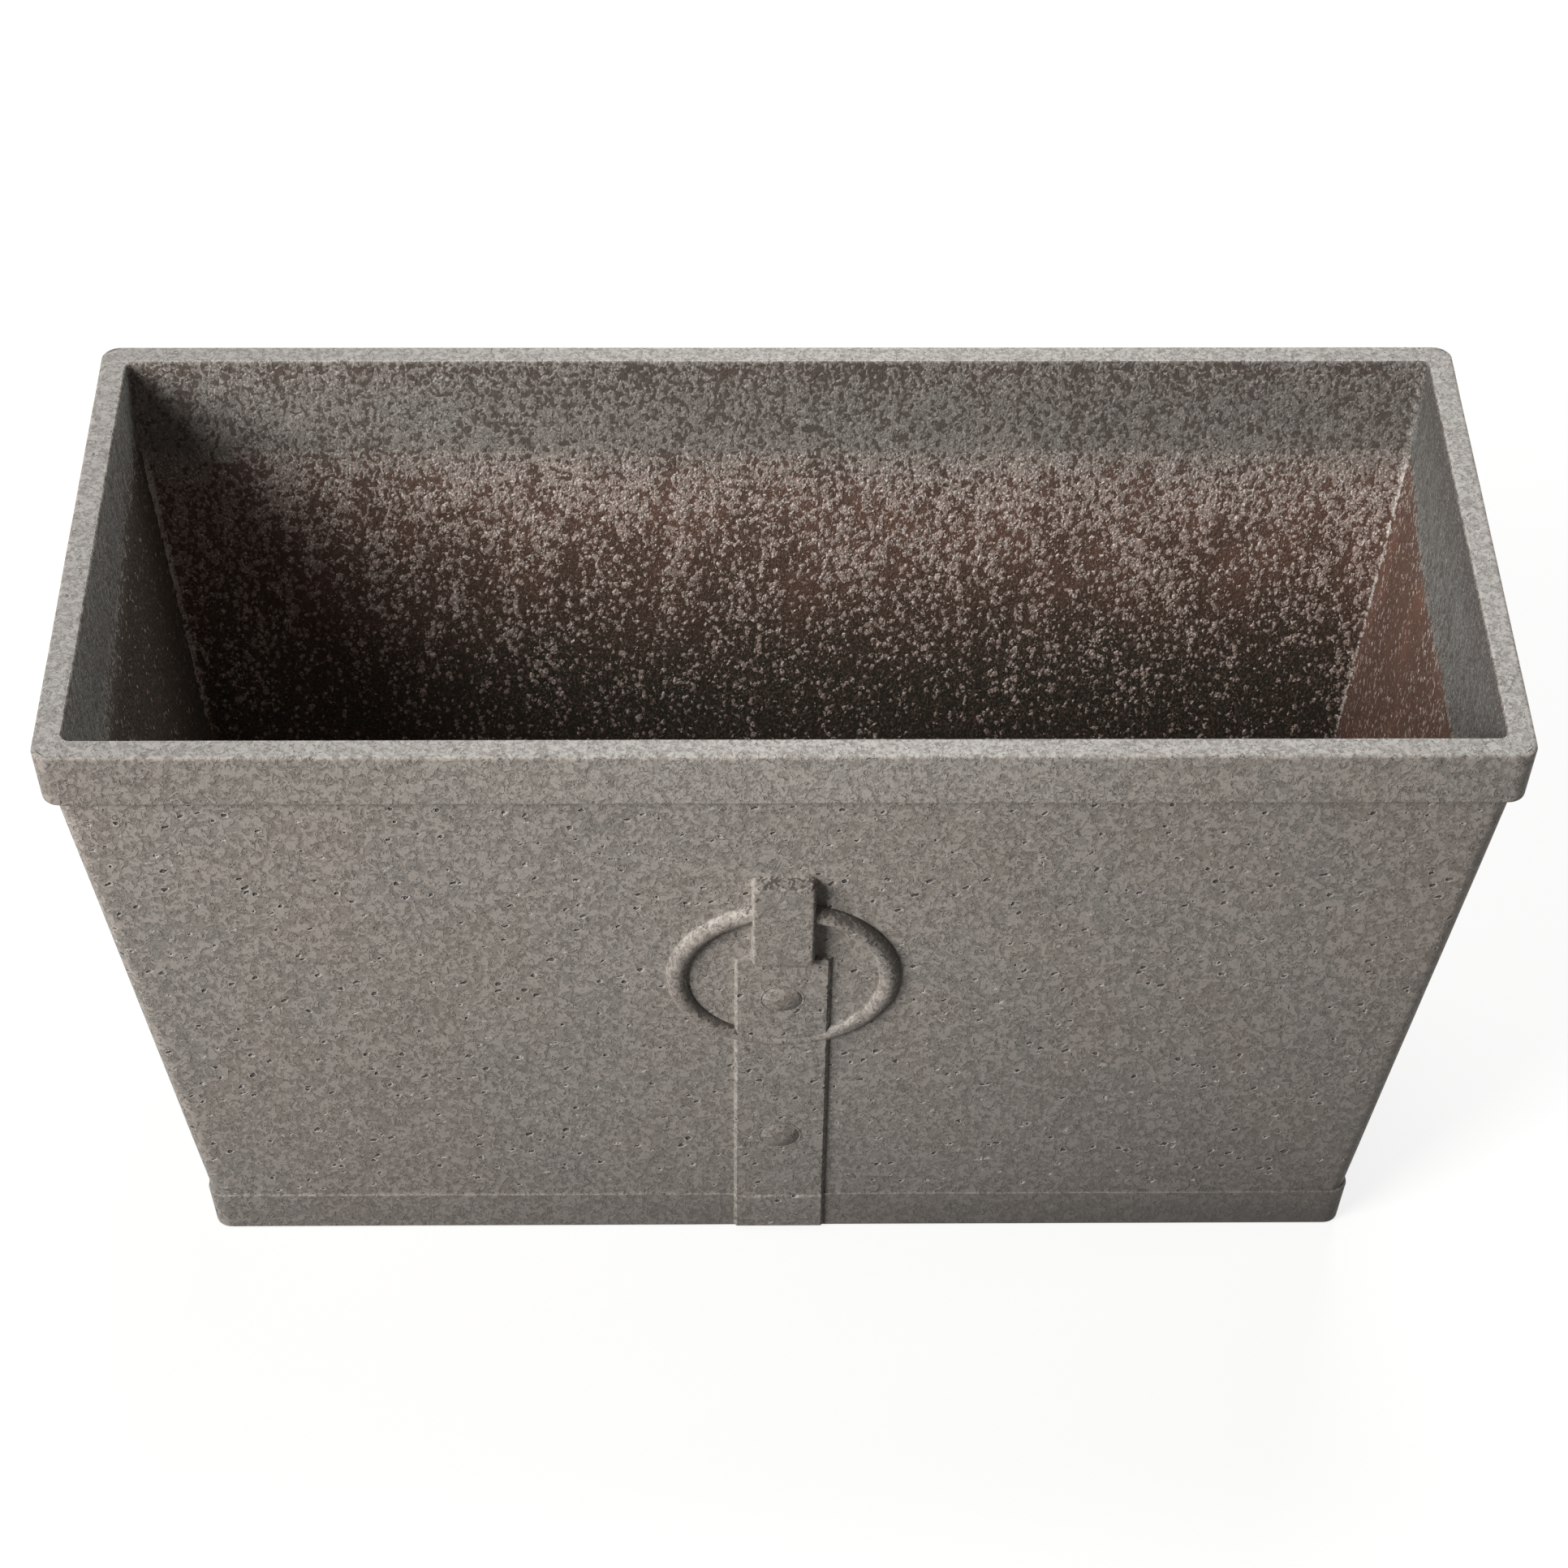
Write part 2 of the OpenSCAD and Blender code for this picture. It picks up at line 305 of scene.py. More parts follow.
print("waves up to", WALL_WAVE, "mm on walls and rim and", PLINTH_WAVE, "mm on the plinth")


# %% [markdown]
# ## The tub
# The tub's wall is one closed skin: from the edge of the floor up the inside, over
# the top of the wall, down the outside, under the foot and up inside the foot to
# the underside of the floor. The floor has a round drain hole in each half. Each
# half is a grid too, between the rectangle of the half floor and the circle of its
# hole, so floor and wall can be welded without any cutting.

# %% The tub's wall
FILLET = 5.0
SEAM_TUCK = 0.6
FOOT_EDGE_R = 0.8
BEND_EASE = 1.1
DRAIN_SPACING, DRAIN_D = 260.0, 25.0


def inner_in(z):
    """Inset of the inner face below the bend: the outer face plus the wall."""
    return wall_in(z) + WALL_T


floor_in, under_in = inner_in(FLOOR_Z + FILLET), inner_in(FOOT_H)
lip_in = floor_in + FILLET + 6
inside_part = (
    INNER_CORNER_R,
    [(lip_in, FLOOR_Z)],
    arc_points((floor_in + FILLET, FLOOR_Z + FILLET), FILLET, 270, 180),
    run(inner_in, FLOOR_Z + FILLET, BEND_Z - 2 * BEND_EASE)[1:],
    [(inner_in(BEND_Z - BEND_EASE), BEND_Z - BEND_EASE), (BEND_IN - 0.1, BEND_Z),
     (collar_in(BEND_Z + BEND_EASE), BEND_Z + BEND_EASE)],
    run(collar_in, BEND_Z + 2 * BEND_EASE, SEAT_Z),
    [(collar_in(SEAT_Z) - SEAM_TUCK, SEAT_Z + SEAM_TUCK)],
)
outside_part = (
    CORNER_R,
    [(wall_in(SEAT_Z) + SEAM_TUCK, SEAT_Z + SEAM_TUCK)],
    run(wall_in, SEAT_Z, FOOT_EDGE_R),
    [(wall_in(0) + FOOT_EDGE_R, 0), (inner_in(0) - FOOT_EDGE_R, 0)],
)
under_part = (
    INNER_CORNER_R,
    [(inner_in(FOOT_EDGE_R), FOOT_EDGE_R), (under_in, FOOT_H - 1.2),
     (under_in + 1.2, FOOT_H), (lip_in, FOOT_H)],
)
wall_section = section_of(inside_part, outside_part, under_part)
wall_grid = carry_round(wall_section)


def open_weeps(grid):
    """Lifts the lower edge over the weep notches: where a point is on a short end
    and within half the notch of the middle, z is at least the notch's height."""
    over_weep = (np.abs(path_x) == 1) & (np.abs(path_y) <= weep_edge + 1e-9)
    lifted = grid.copy()
    low = (lifted[..., 2] < WEEP_H) & over_weep
    lifted[..., 2] = np.where(low, WEEP_H, lifted[..., 2])
    return lifted


wall_grid = open_weeps(soften(wall_grid, WALL_WAVE))
print("rows along the wall's section:", len(wall_section))

# %% The floor, with a drain hole in each half
HOLE_EDGE = 0.6
MIDDLE_STEPS, FLOOR_ROWS = 36, 9
lip_x, lip_y = wall_grid[0, :, 0], wall_grid[0, :, 1]
under_x, under_y = wall_grid[-1, :, 0], wall_grid[-1, :, 1]


def half_loop(x, y, side):
    """The loop round half of the floor: half of the path, then back along the middle."""
    columns = np.arange(HALF + 1) if side > 0 else np.arange(HALF, 2 * HALF + 1) % (2 * HALF)
    back = np.linspace(y[columns[-1]], y[columns[0]], MIDDLE_STEPS + 1)[1:-1]
    return (np.concatenate([x[columns], 0 * back]), np.concatenate([y[columns], back]))


def half_floor(side):
    """Half of the floor, top and underside. A point slides straight from the loop
    (share 1) to the hole's circle in the same direction (share 0), then down the
    hole, and back out along the underside."""
    centre = side * DRAIN_SPACING / 2
    top_x, top_y = half_loop(lip_x, lip_y, side)
    low_x, low_y = half_loop(under_x, under_y, side)
    a = np.arctan2(top_y, top_x - centre)
    share = np.linspace(1, 0, FLOOR_ROWS) ** 1.5

    def level(x, y, s, r, z):
        cx, cy = centre + r * np.cos(a), r * np.sin(a)
        return np.stack([cx + s * (x - cx), cy + s * (y - cy), np.full_like(x, z)], -1)

    r = DRAIN_D / 2
    rows = [level(top_x, top_y, s, r + HOLE_EDGE, FLOOR_Z) for s in share]
    rows += [level(top_x, top_y, 0, r, z) for z in (FLOOR_Z - HOLE_EDGE, FOOT_H + HOLE_EDGE)]
    rows += [level(low_x, low_y, s, r + HOLE_EDGE, FOOT_H) for s in share[::-1]]
    return np.stack(rows)


tub = mesh_piece("tub_moulding", [
    (wall_grid, False, True),
    (half_floor(1), False, True),
    (half_floor(-1), False, True),
])

# %% [markdown]
# ## Ribs under the floor
# Five ribs stiffen the floor and carry it. Water from the drain holes runs out
# through a channel in the middle of each rib but the one at the centre, and out at
# the weep notch under each end. A rib is a small rectangle carried from front to
# back, and its lower edge lifts over the channel.

# %% Ribs
RIB_CLEAR = 25.0
beside_hole = DRAIN_D / 2 + RIB_CLEAR
rib_places = [0.0] + [s * (DRAIN_SPACING / 2 + k * beside_hole) for s in (-1, 1) for k in (-1, 1)]
rib_half = RIM_D / 2 - inner_in(0) + 2
rib_y = np.concatenate([
    [-rib_half], np.linspace(-rib_half + 2, -WEEP_W / 2 - 0.2, 12),
    np.linspace(-WEEP_W / 2, WEEP_W / 2, 5),
    np.linspace(WEEP_W / 2 + 0.2, rib_half - 2, 12), [rib_half],
])


def rib_grid(x):
    """A rib at x: the six corners of its section carried along y, its ends pinched shut."""
    channel = (np.abs(rib_y) <= WEEP_W / 2) & (x != 0)
    foot = np.where(channel, WEEP_H, 0.1)
    half = np.full_like(rib_y, RIB_T / 2)
    top = np.full_like(rib_y, FOOT_H + 1.0)
    section = [(half, top), (half, foot + 0.5), (half - 0.5, foot),
               (0.5 - half, foot), (-half, foot + 0.5), (-half, top)]
    rows = np.stack([np.stack([x + dx, rib_y, z], -1) for dx, z in section])
    ends = np.repeat(rows.mean(axis=0, keepdims=True), len(rows), axis=0)
    return np.concatenate([ends[:, :1], rows, ends[:, -1:]], axis=1)


ribs = mesh_piece("floor_ribs", [(rib_grid(x), True, False) for x in rib_places])

# %% [markdown]
# ## The rim
# The rim is a flat top over the wall with a band that hangs down outside it. All
# its long edges are rounded to about 1.5 mm. Its inner face carries on into the
# collar at the same points as the tub's, and the hidden faces are tucked a little
# into the wall, so that no gap can show.

# %% Rim band
edge_r = RIM_EDGE_R
low_z, high_z = BAND_Z + edge_r, TOTAL_H - edge_r
outer_low, outer_high, inner_high = band_in(low_z), band_in(high_z), collar_in(high_z)
rim_section = section_of(
    (CORNER_R,
     [(wall_in(BAND_Z) + SEAM_TUCK, BAND_Z + 0.3), (wall_in(BAND_Z) - 0.3, BAND_Z)],
     arc_points((outer_low + edge_r, low_z), edge_r, 270, 180),
     run(band_in, low_z, high_z)[1:-1],
     arc_points((outer_high + edge_r, high_z), edge_r, 180, 90)),
    (INNER_CORNER_R + 1,
     [(outer_high + edge_r + BESIDE, TOTAL_H), (inner_high - edge_r - BESIDE, TOTAL_H)]),
    (INNER_CORNER_R,
     arc_points((inner_high - edge_r, high_z), edge_r, 90, 0),
     run(collar_in, high_z, SEAT_Z, 2)[1:],
     [(collar_in(SEAT_Z) - SEAM_TUCK, SEAT_Z - SEAM_TUCK)]),
    (CORNER_R,
     [(wall_in(SEAT_Z) + SEAM_TUCK, SEAT_Z - SEAM_TUCK)]),
)
rim_grid = soften(carry_round(rim_section), WALL_WAVE)
rim = mesh_piece("rim_band_moulding", [(rim_grid, True, True)])

# %% [markdown]
# ## The plinth
# Round the foot, the wall steps out by 1.2 mm and leans less. The step's upper
# edge is only slightly rounded, so it draws a thin line of light round the foot.

# %% Plinth band
STEP_EDGE_R = 0.5
base_edge_z = BASE_H - STEP_EDGE_R
plinth_section = section_of((
    CORNER_R,
    [(wall_in(BASE_H) + SEAM_TUCK, BASE_H - 0.1)],
    arc_points((base_in(BASE_H) + STEP_EDGE_R, base_edge_z), STEP_EDGE_R, 90, 180),
    run(base_in, base_edge_z, FOOT_EDGE_R, 3)[1:],
    [(base_in(0) + FOOT_EDGE_R, 0), (wall_in(0) + SEAM_TUCK, 0.1)],
))
plinth_grid = open_weeps(soften(carry_round(plinth_section), PLINTH_WAVE))
plinth = mesh_piece("plinth_moulding", [(plinth_grid, True, True)])

# %% [markdown]
# ## A place on the front wall
# The ironwork is laid out on the wall itself: x along the trough, y up the slope
# from the height of the ring's centre, and z straight out of the wall.

# %% On the front wall
RING_DROP, RING_D, RING_BAR_D, RING_SINK = 119.0, 101.6, 9.6, 2.3
RING_Z = BAND_Z - RING_DROP * math.cos(WALL_LEAN)
wall_up = np.array([0, -math.sin(WALL_LEAN), math.cos(WALL_LEAN)])
wall_out = np.array([0, -math.cos(WALL_LEAN), -math.sin(WALL_LEAN)])
ring_place = np.array([0, wall_in(RING_Z) - RIM_D / 2, RING_Z])


def on_front(x, y, z):
    """Points from places on the wall: ring's centre + x along, y up the slope, z out."""
    x, y, z = np.broadcast_arrays(x, y, z)
    along = np.stack([x, zero(x), zero(x)], -1)
    return ring_place + along + y[..., None] * wall_up + z[..., None] * wall_out


print("centre of the ring on the wall:", ring_place.round(1))


# %% [markdown]
# ## The strap
# A flat strap 41 mm wide and 2 mm proud runs down the wall and over the plinth, and
# ends 2 mm above the ground. Its sides slope a little, as on anything that has to
# leave a mould, and all edges are soft. It could be a bevelled box, but it has to
# bend over the plinth's step, so it is a section across, carried down the wall.

# %% Strap
STRAP_W, STRAP_T, STRAP_LEAD = 41.0, 2.0, 13.0
STRAP_FOOT, STEP_SOFT = 2.0, 0.12


def soft_side(height, lean, top_r, steps=5):
    """Half of a low relief's section, from below the wall's face to its flat top:
    (distance outside the top's edge, height). The side leans, and its upper edge is
    an arc that ends level."""
    a = np.linspace(0, np.pi / 2, steps + 1)
    side = [(lean + 0.25, -0.4), (lean + 0.05, 0.05), (top_r * 0.9 + 0.12 * lean, height - top_r)]
    arc = np.stack([top_r * (1 - np.sin(a)), height - top_r + top_r * np.sin(a)], -1)
    return np.concatenate([side, arc[1:]])


side = soft_side(STRAP_T, 1.3, 0.9)
half_flat = STRAP_W / 2 - 1.1
flat = np.linspace(-half_flat + 0.8, half_flat - 0.8, 18)
across = np.concatenate([
    np.column_stack([-half_flat - side[:, 0], side[:, 1]]),
    np.column_stack([flat, np.full_like(flat, STRAP_T)]),
    np.column_stack([half_flat + side[::-1, 0], side[::-1, 1]]),
])
top_z = RING_Z + STRAP_LEAD * math.cos(WALL_LEAN)
strap_z = np.concatenate([
    [top_z], np.arange(top_z - 2, BASE_H + 2, -4.0),
    BASE_H + np.array([1, 0.45, 0.15, -0.1, -0.4, -1]),
    np.linspace(BASE_H - 3, STRAP_FOOT + 1.2, 6), [STRAP_FOOT + 0.4, STRAP_FOOT],
])
# The step over the plinth is a smooth S: 1 / (1 + exp(-distance / softness))
over_plinth = 1 / (1 + np.exp(-(BASE_H + 0.1 - strap_z) / STEP_SOFT))
strap_in = wall_in(strap_z) * (1 - over_plinth) + base_in(strap_z) * over_plinth
strap_in[-1] += 0.5


def strap_grid():
    """Across the strap by down the wall: y = the face below it, minus the height
    over cos(lean)."""
    out = across[:, 1] / math.cos(WALL_LEAN)
    y = strap_in[:, None] - RIM_D / 2 - out[None, :]
    x = np.broadcast_to(across[:, 0], y.shape)
    z = np.broadcast_to(strap_z[:, None], y.shape)
    return np.stack([x, y, z], -1)


face_grid = strap_grid()
back_grid = face_grid.copy()
back_grid[..., 1] = strap_in[:, None] - RIM_D / 2 + 0.5
edges = [(face_grid[k], back_grid[k]) for k in (0, -1)]
edges += [(face_grid[:, k], back_grid[:, k]) for k in (0, -1)]
strap_grids = [face_grid, back_grid, *(np.stack(pair) for pair in edges)]
strap = mesh_piece("front_strap_moulding", [(grid, False, False) for grid in strap_grids])

# %% [markdown]
# ## The clip
# The clip looks like a folded tab that holds the ring. It stands 6.5 mm out, with
# sides that lean, soft corners and a lower edge that turns in a little. It is a
# stack of rounded rectangles that closes on the middle line, because that rounds
# all its edges and corners at once.

# %% Clip
CLIP_W, CLIP_TOP, CLIP_T, CLIP_CORNER = 27.5, 67.8, 6.5, 2.5
CLIP_LEAN, CLIP_EDGE_R, TURNED_IN = 0.55, 1.5, 0.6
clip_half_w, clip_half_h = CLIP_W / 2, (CLIP_TOP - STRAP_LEAD) / 2
clip_middle = (CLIP_TOP + STRAP_LEAD) / 2


def rounded_loop(half_w, half_h, r, steps=8, straight=14):
    """Points round a rounded rectangle: the corner's centre plus r (cos, sin), with
    straight runs between the corners."""
    a = np.linspace(0, np.pi / 2, steps + 1)
    quadrants = [(1, 1), (-1, 1), (-1, -1), (1, -1)]
    corners = []
    for k, (sx, sy) in enumerate(quadrants):
        b = a + k * np.pi / 2
        centre_x, centre_y = sx * (half_w - r), sy * (half_h - r)
        corners.append(np.stack([centre_x + r * np.cos(b), centre_y + r * np.sin(b)], -1))
    loop = []
    for k in range(4):
        start, end = corners[k][-1], corners[(k + 1) % 4][0]
        t = np.linspace(0, 1, straight + 1)[1:-1, None]
        loop += [corners[k], start + t * (end - start)]
    return np.concatenate(loop)


def clip_grid():
    """Rows from below the wall up the leaning side, round the edge and in to the
    middle line, where the two sides meet."""
    face_in = CLIP_LEAN + CLIP_EDGE_R
    profile = [(-0.35, -0.5), (0.0, 0.0), (CLIP_LEAN, CLIP_T - CLIP_EDGE_R)]
    for a in np.linspace(0, np.pi / 2, 7)[1:]:
        profile.append((CLIP_LEAN + CLIP_EDGE_R * (1 - math.cos(a)),
                        CLIP_T - CLIP_EDGE_R + CLIP_EDGE_R * math.sin(a)))
    shapes = [(inset, height, max(CLIP_CORNER - 0.4 * inset, 0.8)) for inset, height in profile]
    for inset in np.linspace(face_in + 1.0, clip_half_w - 0.001, 6):
        shapes.append((inset, CLIP_T, min(1.2, clip_half_w - inset)))
    rows = []
    for inset, height, corner_r in shapes:
        loop = rounded_loop(clip_half_w - inset, clip_half_h - inset, corner_r)
        rows.append(np.column_stack([loop, np.full(len(loop), height)]))
    return np.stack(rows)


clip_rows = clip_grid()
turn_in = np.clip((-clip_rows[..., 1] - clip_half_h + 4) / 4, 0, 1)
clip_rows[..., 2] -= TURNED_IN * turn_in ** 2 * (clip_rows[..., 2] > 2)
clip_x, clip_y, clip_height = np.moveaxis(clip_rows, -1, 0)
# The back is the first loop, drawn together to a point
back_x, back_y = (np.stack([loop[0], zero(loop[0])]) for loop in (clip_x, clip_y))
clip = mesh_piece("ring_clip_moulding", [
    (on_front(clip_x, clip_y + clip_middle, clip_height), False, True),
    (on_front(back_x, back_y + clip_middle, -0.5), False, True),
])

# %% [markdown]
# ## The ring
# The ring is half a bar laid on the wall. Its upper end lies full on the face, and
# its lowest point is sunk by 2.3 mm, so that over the strap only a low crest is
# left. A circle, the bar, is carried round a circle, the ring. A torus would do it,
# but it can't be sunk on one side only.

# %% Ring
RING_R = (RING_D - RING_BAR_D) / 2
# The bar goes on a little below the wall's face on both sides, so that no gap shows
ring_turn = np.linspace(0, 2 * np.pi, 193)[:-1]
bar_turn = np.radians(np.linspace(-28, 208, 31))


def ring_grid():
    """Rows round the ring by columns round the bar: distance from the centre =
    ring radius + bar radius cos b, height = bar radius sin b - the sink, which grows
    from nothing at the top to 2.3 mm at the bottom."""
    a, b = ring_turn[:, None], bar_turn[None, :]
    reach = RING_R + RING_BAR_D / 2 * np.cos(b)
    height = RING_BAR_D / 2 * np.sin(b) - RING_SINK * ((1 - np.sin(a)) / 2) ** 1.5
    return on_front(reach * np.cos(a), reach * np.sin(a), height)


ring = mesh_piece("ring_moulding", [(ring_grid(), True, True)])

# %% [markdown]
# ## The rivet heads
# Each rivet head is a very low dome with a fine groove round it, turned about an
# axis that stands square on the wall.

# %% Rivets
RIVET_D, RIVET_H = 17.4, 1.4
UPPER_RIVET, LOWER_RIVET = -14.5, -116.9


def rivet_grid(at):
    """A profile turned about the rivet's axis: height = H (1 - share^2.4), so the middle
    is nearly flat and the edge steep, then a fine groove and a low lip round it."""
    share = np.concatenate([np.linspace(0, 0.9, 12), [0.94, 0.97, 1.0]])
    reach = np.concatenate([share * RIVET_D / 2, RIVET_D / 2 + np.array([0.25, 0.55, 0.9, 1.3])])
    height = np.concatenate([RIVET_H * (1 - share ** 2.4), [-0.12, 0.16, 0.14, -0.3]])
    height[len(share) - 1] = -0.05
    a = np.linspace(0, 2 * np.pi, 65)[:-1]
    x = reach[:, None] * np.cos(a)
    y = reach[:, None] * np.sin(a)
    return on_front(x, y + at, STRAP_T + np.broadcast_to(height[:, None], x.shape))


def close_disc(grid):
    """The same loop twice, the second pinched to its middle, to shut a turned piece."""
    last = grid[-1]
    return np.stack([last, np.broadcast_to(last.mean(0), last.shape)])


rivets = {}
for name, at in (("upper_rivet", UPPER_RIVET), ("lower_rivet", LOWER_RIVET)):
    head = rivet_grid(at)
    grids = [(head, False, True), (close_disc(head), False, True)]
    rivets[name] = mesh_piece(name + "_head", grids)

# %% [markdown]
# ## The drain plugs
# A soft black rubber plug closes each drain hole: a flange that lies on the floor,
# a stem with a lead-in that fits the hole, and a grip to pull it out by. Its
# profile is turned about the hole's axis.

# %% Drain plugs
PLUG_CLEAR, FLANGE_LIP, FLANGE_T = 0.1, 4.5, 2.5
STEM_REACH, STEM_CHAMFER, GRIP_D, GRIP_H = 2.0, 1.0, 11.0, 8.0
stem_r = DRAIN_D / 2 - PLUG_CLEAR
flange_r = DRAIN_D / 2 + FLANGE_LIP
grip_r = GRIP_D / 2
stem_z = FLOOR_Z - FLOOR_T - STEM_REACH
flange_z = FLOOR_Z + FLANGE_T
grip_z = flange_z + GRIP_H


def turned(x, profile, steps=72):
    """A profile of (radius, z) turned about the upright axis at x."""
    radius, z = np.asarray(profile, float).T
    a = np.linspace(0, 2 * np.pi, steps + 1)[:-1]
    return np.stack([x + radius[:, None] * np.cos(a), radius[:, None] * np.sin(a),
                     np.broadcast_to(z[:, None], (len(z), steps))], -1)


plug_profile = np.concatenate([
    [(0, stem_z), (stem_r - STEM_CHAMFER - 0.4, stem_z), (stem_r - STEM_CHAMFER, stem_z + 0.1)],
    [(stem_r, stem_z + STEM_CHAMFER), (stem_r, FLOOR_Z - 0.6)],
    [(stem_r, FLOOR_Z), (flange_r - 0.8, FLOOR_Z)],
    arc_points((flange_r - 0.5, FLOOR_Z + 0.5), 0.5, -90, 0, 4),
    arc_points((flange_r - 1.0, flange_z - 1.0), 1.0, 0, 90, 4),
    [(flange_r - 1.6, flange_z), (grip_r + 1.8, flange_z)],
    arc_points((grip_r + 1.4, flange_z + 1.4), 1.4, 270, 180, 4)[:-1],
    [(grip_r - 0.5, flange_z + 3.6), (grip_r - 0.5, flange_z + 4.4)],
    [(grip_r, flange_z + 5.2)],
    arc_points((grip_r - 1.2, grip_z - 1.2), 1.2, 0, 90, 4),
    [(grip_r - 2.0, grip_z), (0, grip_z - 0.3)],
])
plugs = {}
for node_name, side_sign in (("drain_plug_left", -1), ("drain_plug_right", 1)):
    plug_grid = turned(side_sign * DRAIN_SPACING / 2, plug_profile)
    plugs[node_name] = mesh_piece(node_name + "_rubber", [(plug_grid, False, True)])

# %% [markdown]
# ## Where the spray landed
# On the real planter the gun was held outside, above and to the left. The outside is
# covered, and inside the spray thins out with depth until only single drops are left.
# A painted mask could say so, but it would need an image. So each point of a mesh
# keeps eight numbers, worked out from its place and the way it faces, and one
# material reads them on every piece:
# - bare_level: how high the drop pattern must rise to be paint,
# - film: how closed the coat is, and inside: whether this is the inside,
# - brown: how brown the bare resin is, from nearly black to reddish brown; its
#   darkening with depth and on the left end is partly the resin's own tone and
#   partly painted shade,
# - pale paint laid on as painted highlight, and dark paint laid on as painted shade,
# - on_end: the closed paint on the inside of the short ends, whose dark greenish
#   grey is partly its own tone and partly painted shade,
# - pits: how deep the small pits of the moulding are.

# %% The spray at each depth
MARKS = ("bare_level", "brown", "film", "inside", "painted_highlight", "painted_shade", "on_end", "pits")
DEPTHS = [0, 60, 128, 160, 190, 222, 246, 268, 281, 287, 298, 312, 325, 331, 333, 334]
LANDED = [0.02, 0.04, 0.08, 0.15, 0.25, 0.39, 0.54, 0.68,
          0.79, 0.84, 0.77, 0.73, 0.62, 0.50, 0.70, 0.93]
FILMED = [0.0, 0.0, 0.0, 0.0, 0.0, 0.02, 0.06, 0.20,
          0.50, 0.85, 0.90, 0.90, 0.80, 0.70, 0.90, 1.0]
FIELD_MEAN, FIELD_SPREAD = 0.499, 0.065


def level_for(share):
    """The height of the drop pattern above which that share of it lies, if its
    heights are spread like a bell curve: mean - spread * inverse of the bell's sum."""
    return FIELD_MEAN - FIELD_SPREAD * NormalDist().inv_cdf(share)


def ease(value, low, high):
    """Smooth step from 0 to 1: t^2 (3 - 2t), with t the share of the way from low to high."""
    t = np.clip((value - low) / (high - low), 0, 1)
    return t * t * (3 - 2 * t)


levels = [level_for(share) for share in LANDED]
print("levels of the drop pattern:", np.round(levels, 3))

# %% Inside, end walls and corners
RIM_TURN_Z = 331.0
BARE_ENDS = {"right": level_for(0.13), "left": level_for(0.03)}
# Levels of the drop pattern for closed paint, for the painted highlight in the inside corners, and
# under the floor
CLOSED, CORNER_LIGHT_LEVEL, UNDER_FLOOR = level_for(0.88), level_for(0.90), level_for(0.06)
CORNER_LIGHT_Z, CORNER_LIGHT_SHARE = [60, 200, 276, 284], [0.2, 0.8, 1.0, 0.0]
RIGHT_LINE_Z, LEFT_LINE_Z, RIGHT_SOFT, LEFT_SOFT = 266.4, 274.0, 5.0, 17.0


def inside_of(points):
    """True for points on the inside. Half-way through the wall divides it from the
    outside, and on the rim the start of the inner edge's rounding does."""
    x, y, z = points.T
    middle = np.where(z > BEND_Z, collar_in(z) - 1.6, wall_in(z) + WALL_T / 2)
    within = (np.abs(x) < RIM_W / 2 - middle) & (np.abs(y) < RIM_D / 2 - middle)
    return within & (z < TOTAL_H - 0.2)


def end_walls(at, facing, inside):
    """How far a point belongs to an end wall inside (it faces along x), and how closed
    the paint is there: a smooth step across a line. The line rises like a parabola
    towards the back on the right end, and evenly on the left end, where it is softer."""
    x, y, z = at.T
    on_end = inside * ease(np.abs(facing[:, 0]), 0.75, 0.92)
    right_line = RIGHT_LINE_Z + 14 * np.clip((y - 20) / 95, 0, 1) ** 2
    line = np.where(x > 0, right_line, LEFT_LINE_Z + 0.185 * y)
    soft = np.where(x > 0, RIGHT_SOFT, LEFT_SOFT)
    return on_end, ease(z, line - soft, line + soft)


def painted_corner_light(at, facing, inside):
    """Painted highlight in the upright inside corners: a smooth step of |nx ny|, which
    is largest half-way round the corner, times a share for the height."""
    right = at[:, 0] > 0
    low, high = np.where(right, 0.42, 0.28), np.where(right, 0.50, 0.40)
    in_corner = inside * ease(np.abs(facing[:, 0] * facing[:, 1]), low, high)
    return in_corner * np.interp(at[:, 2], CORNER_LIGHT_Z, CORNER_LIGHT_SHARE)


def spray_inside(at, inside, under, on_end, closed, corner_light):
    """The drop pattern's level and the share of closed film: the values for the depth,
    mixed on the end walls with those above and below the line of closed paint, then in
    the corners with the level of the painted corner highlight."""
    x, _, z = at.T
    level = np.where(inside, np.interp(z, DEPTHS, levels), 0.0)
    film = np.where(inside, np.interp(z, DEPTHS, FILMED), 1.0) * (1 - under)
    bare_end = np.where(x > 0, BARE_ENDS["right"], BARE_ENDS["left"])
    end_level = bare_end * (1 - closed) + CLOSED * closed
    end_level = np.where((z < 160) & (level > end_level), level, end_level)
    at_rim = z > RIM_TURN_Z
    level = level * (1 - on_end) + np.where(at_rim, level, end_level) * on_end
    film = film * (1 - on_end) + np.where(at_rim, film, 0.95 * closed) * on_end
    level = level * (1 - corner_light) + CORNER_LIGHT_LEVEL * corner_light
    return np.where(under, UNDER_FLOOR, level), film


print("level where paint is closed:", round(CLOSED, 3), "and corner_highlight:", round(CORNER_LIGHT_LEVEL, 3))

# %% Painted highlight and painted shade outside
# Faces towards the gun, above and to the left, get painted highlight
GUN = np.array([-0.42, -0.22, 0.88])
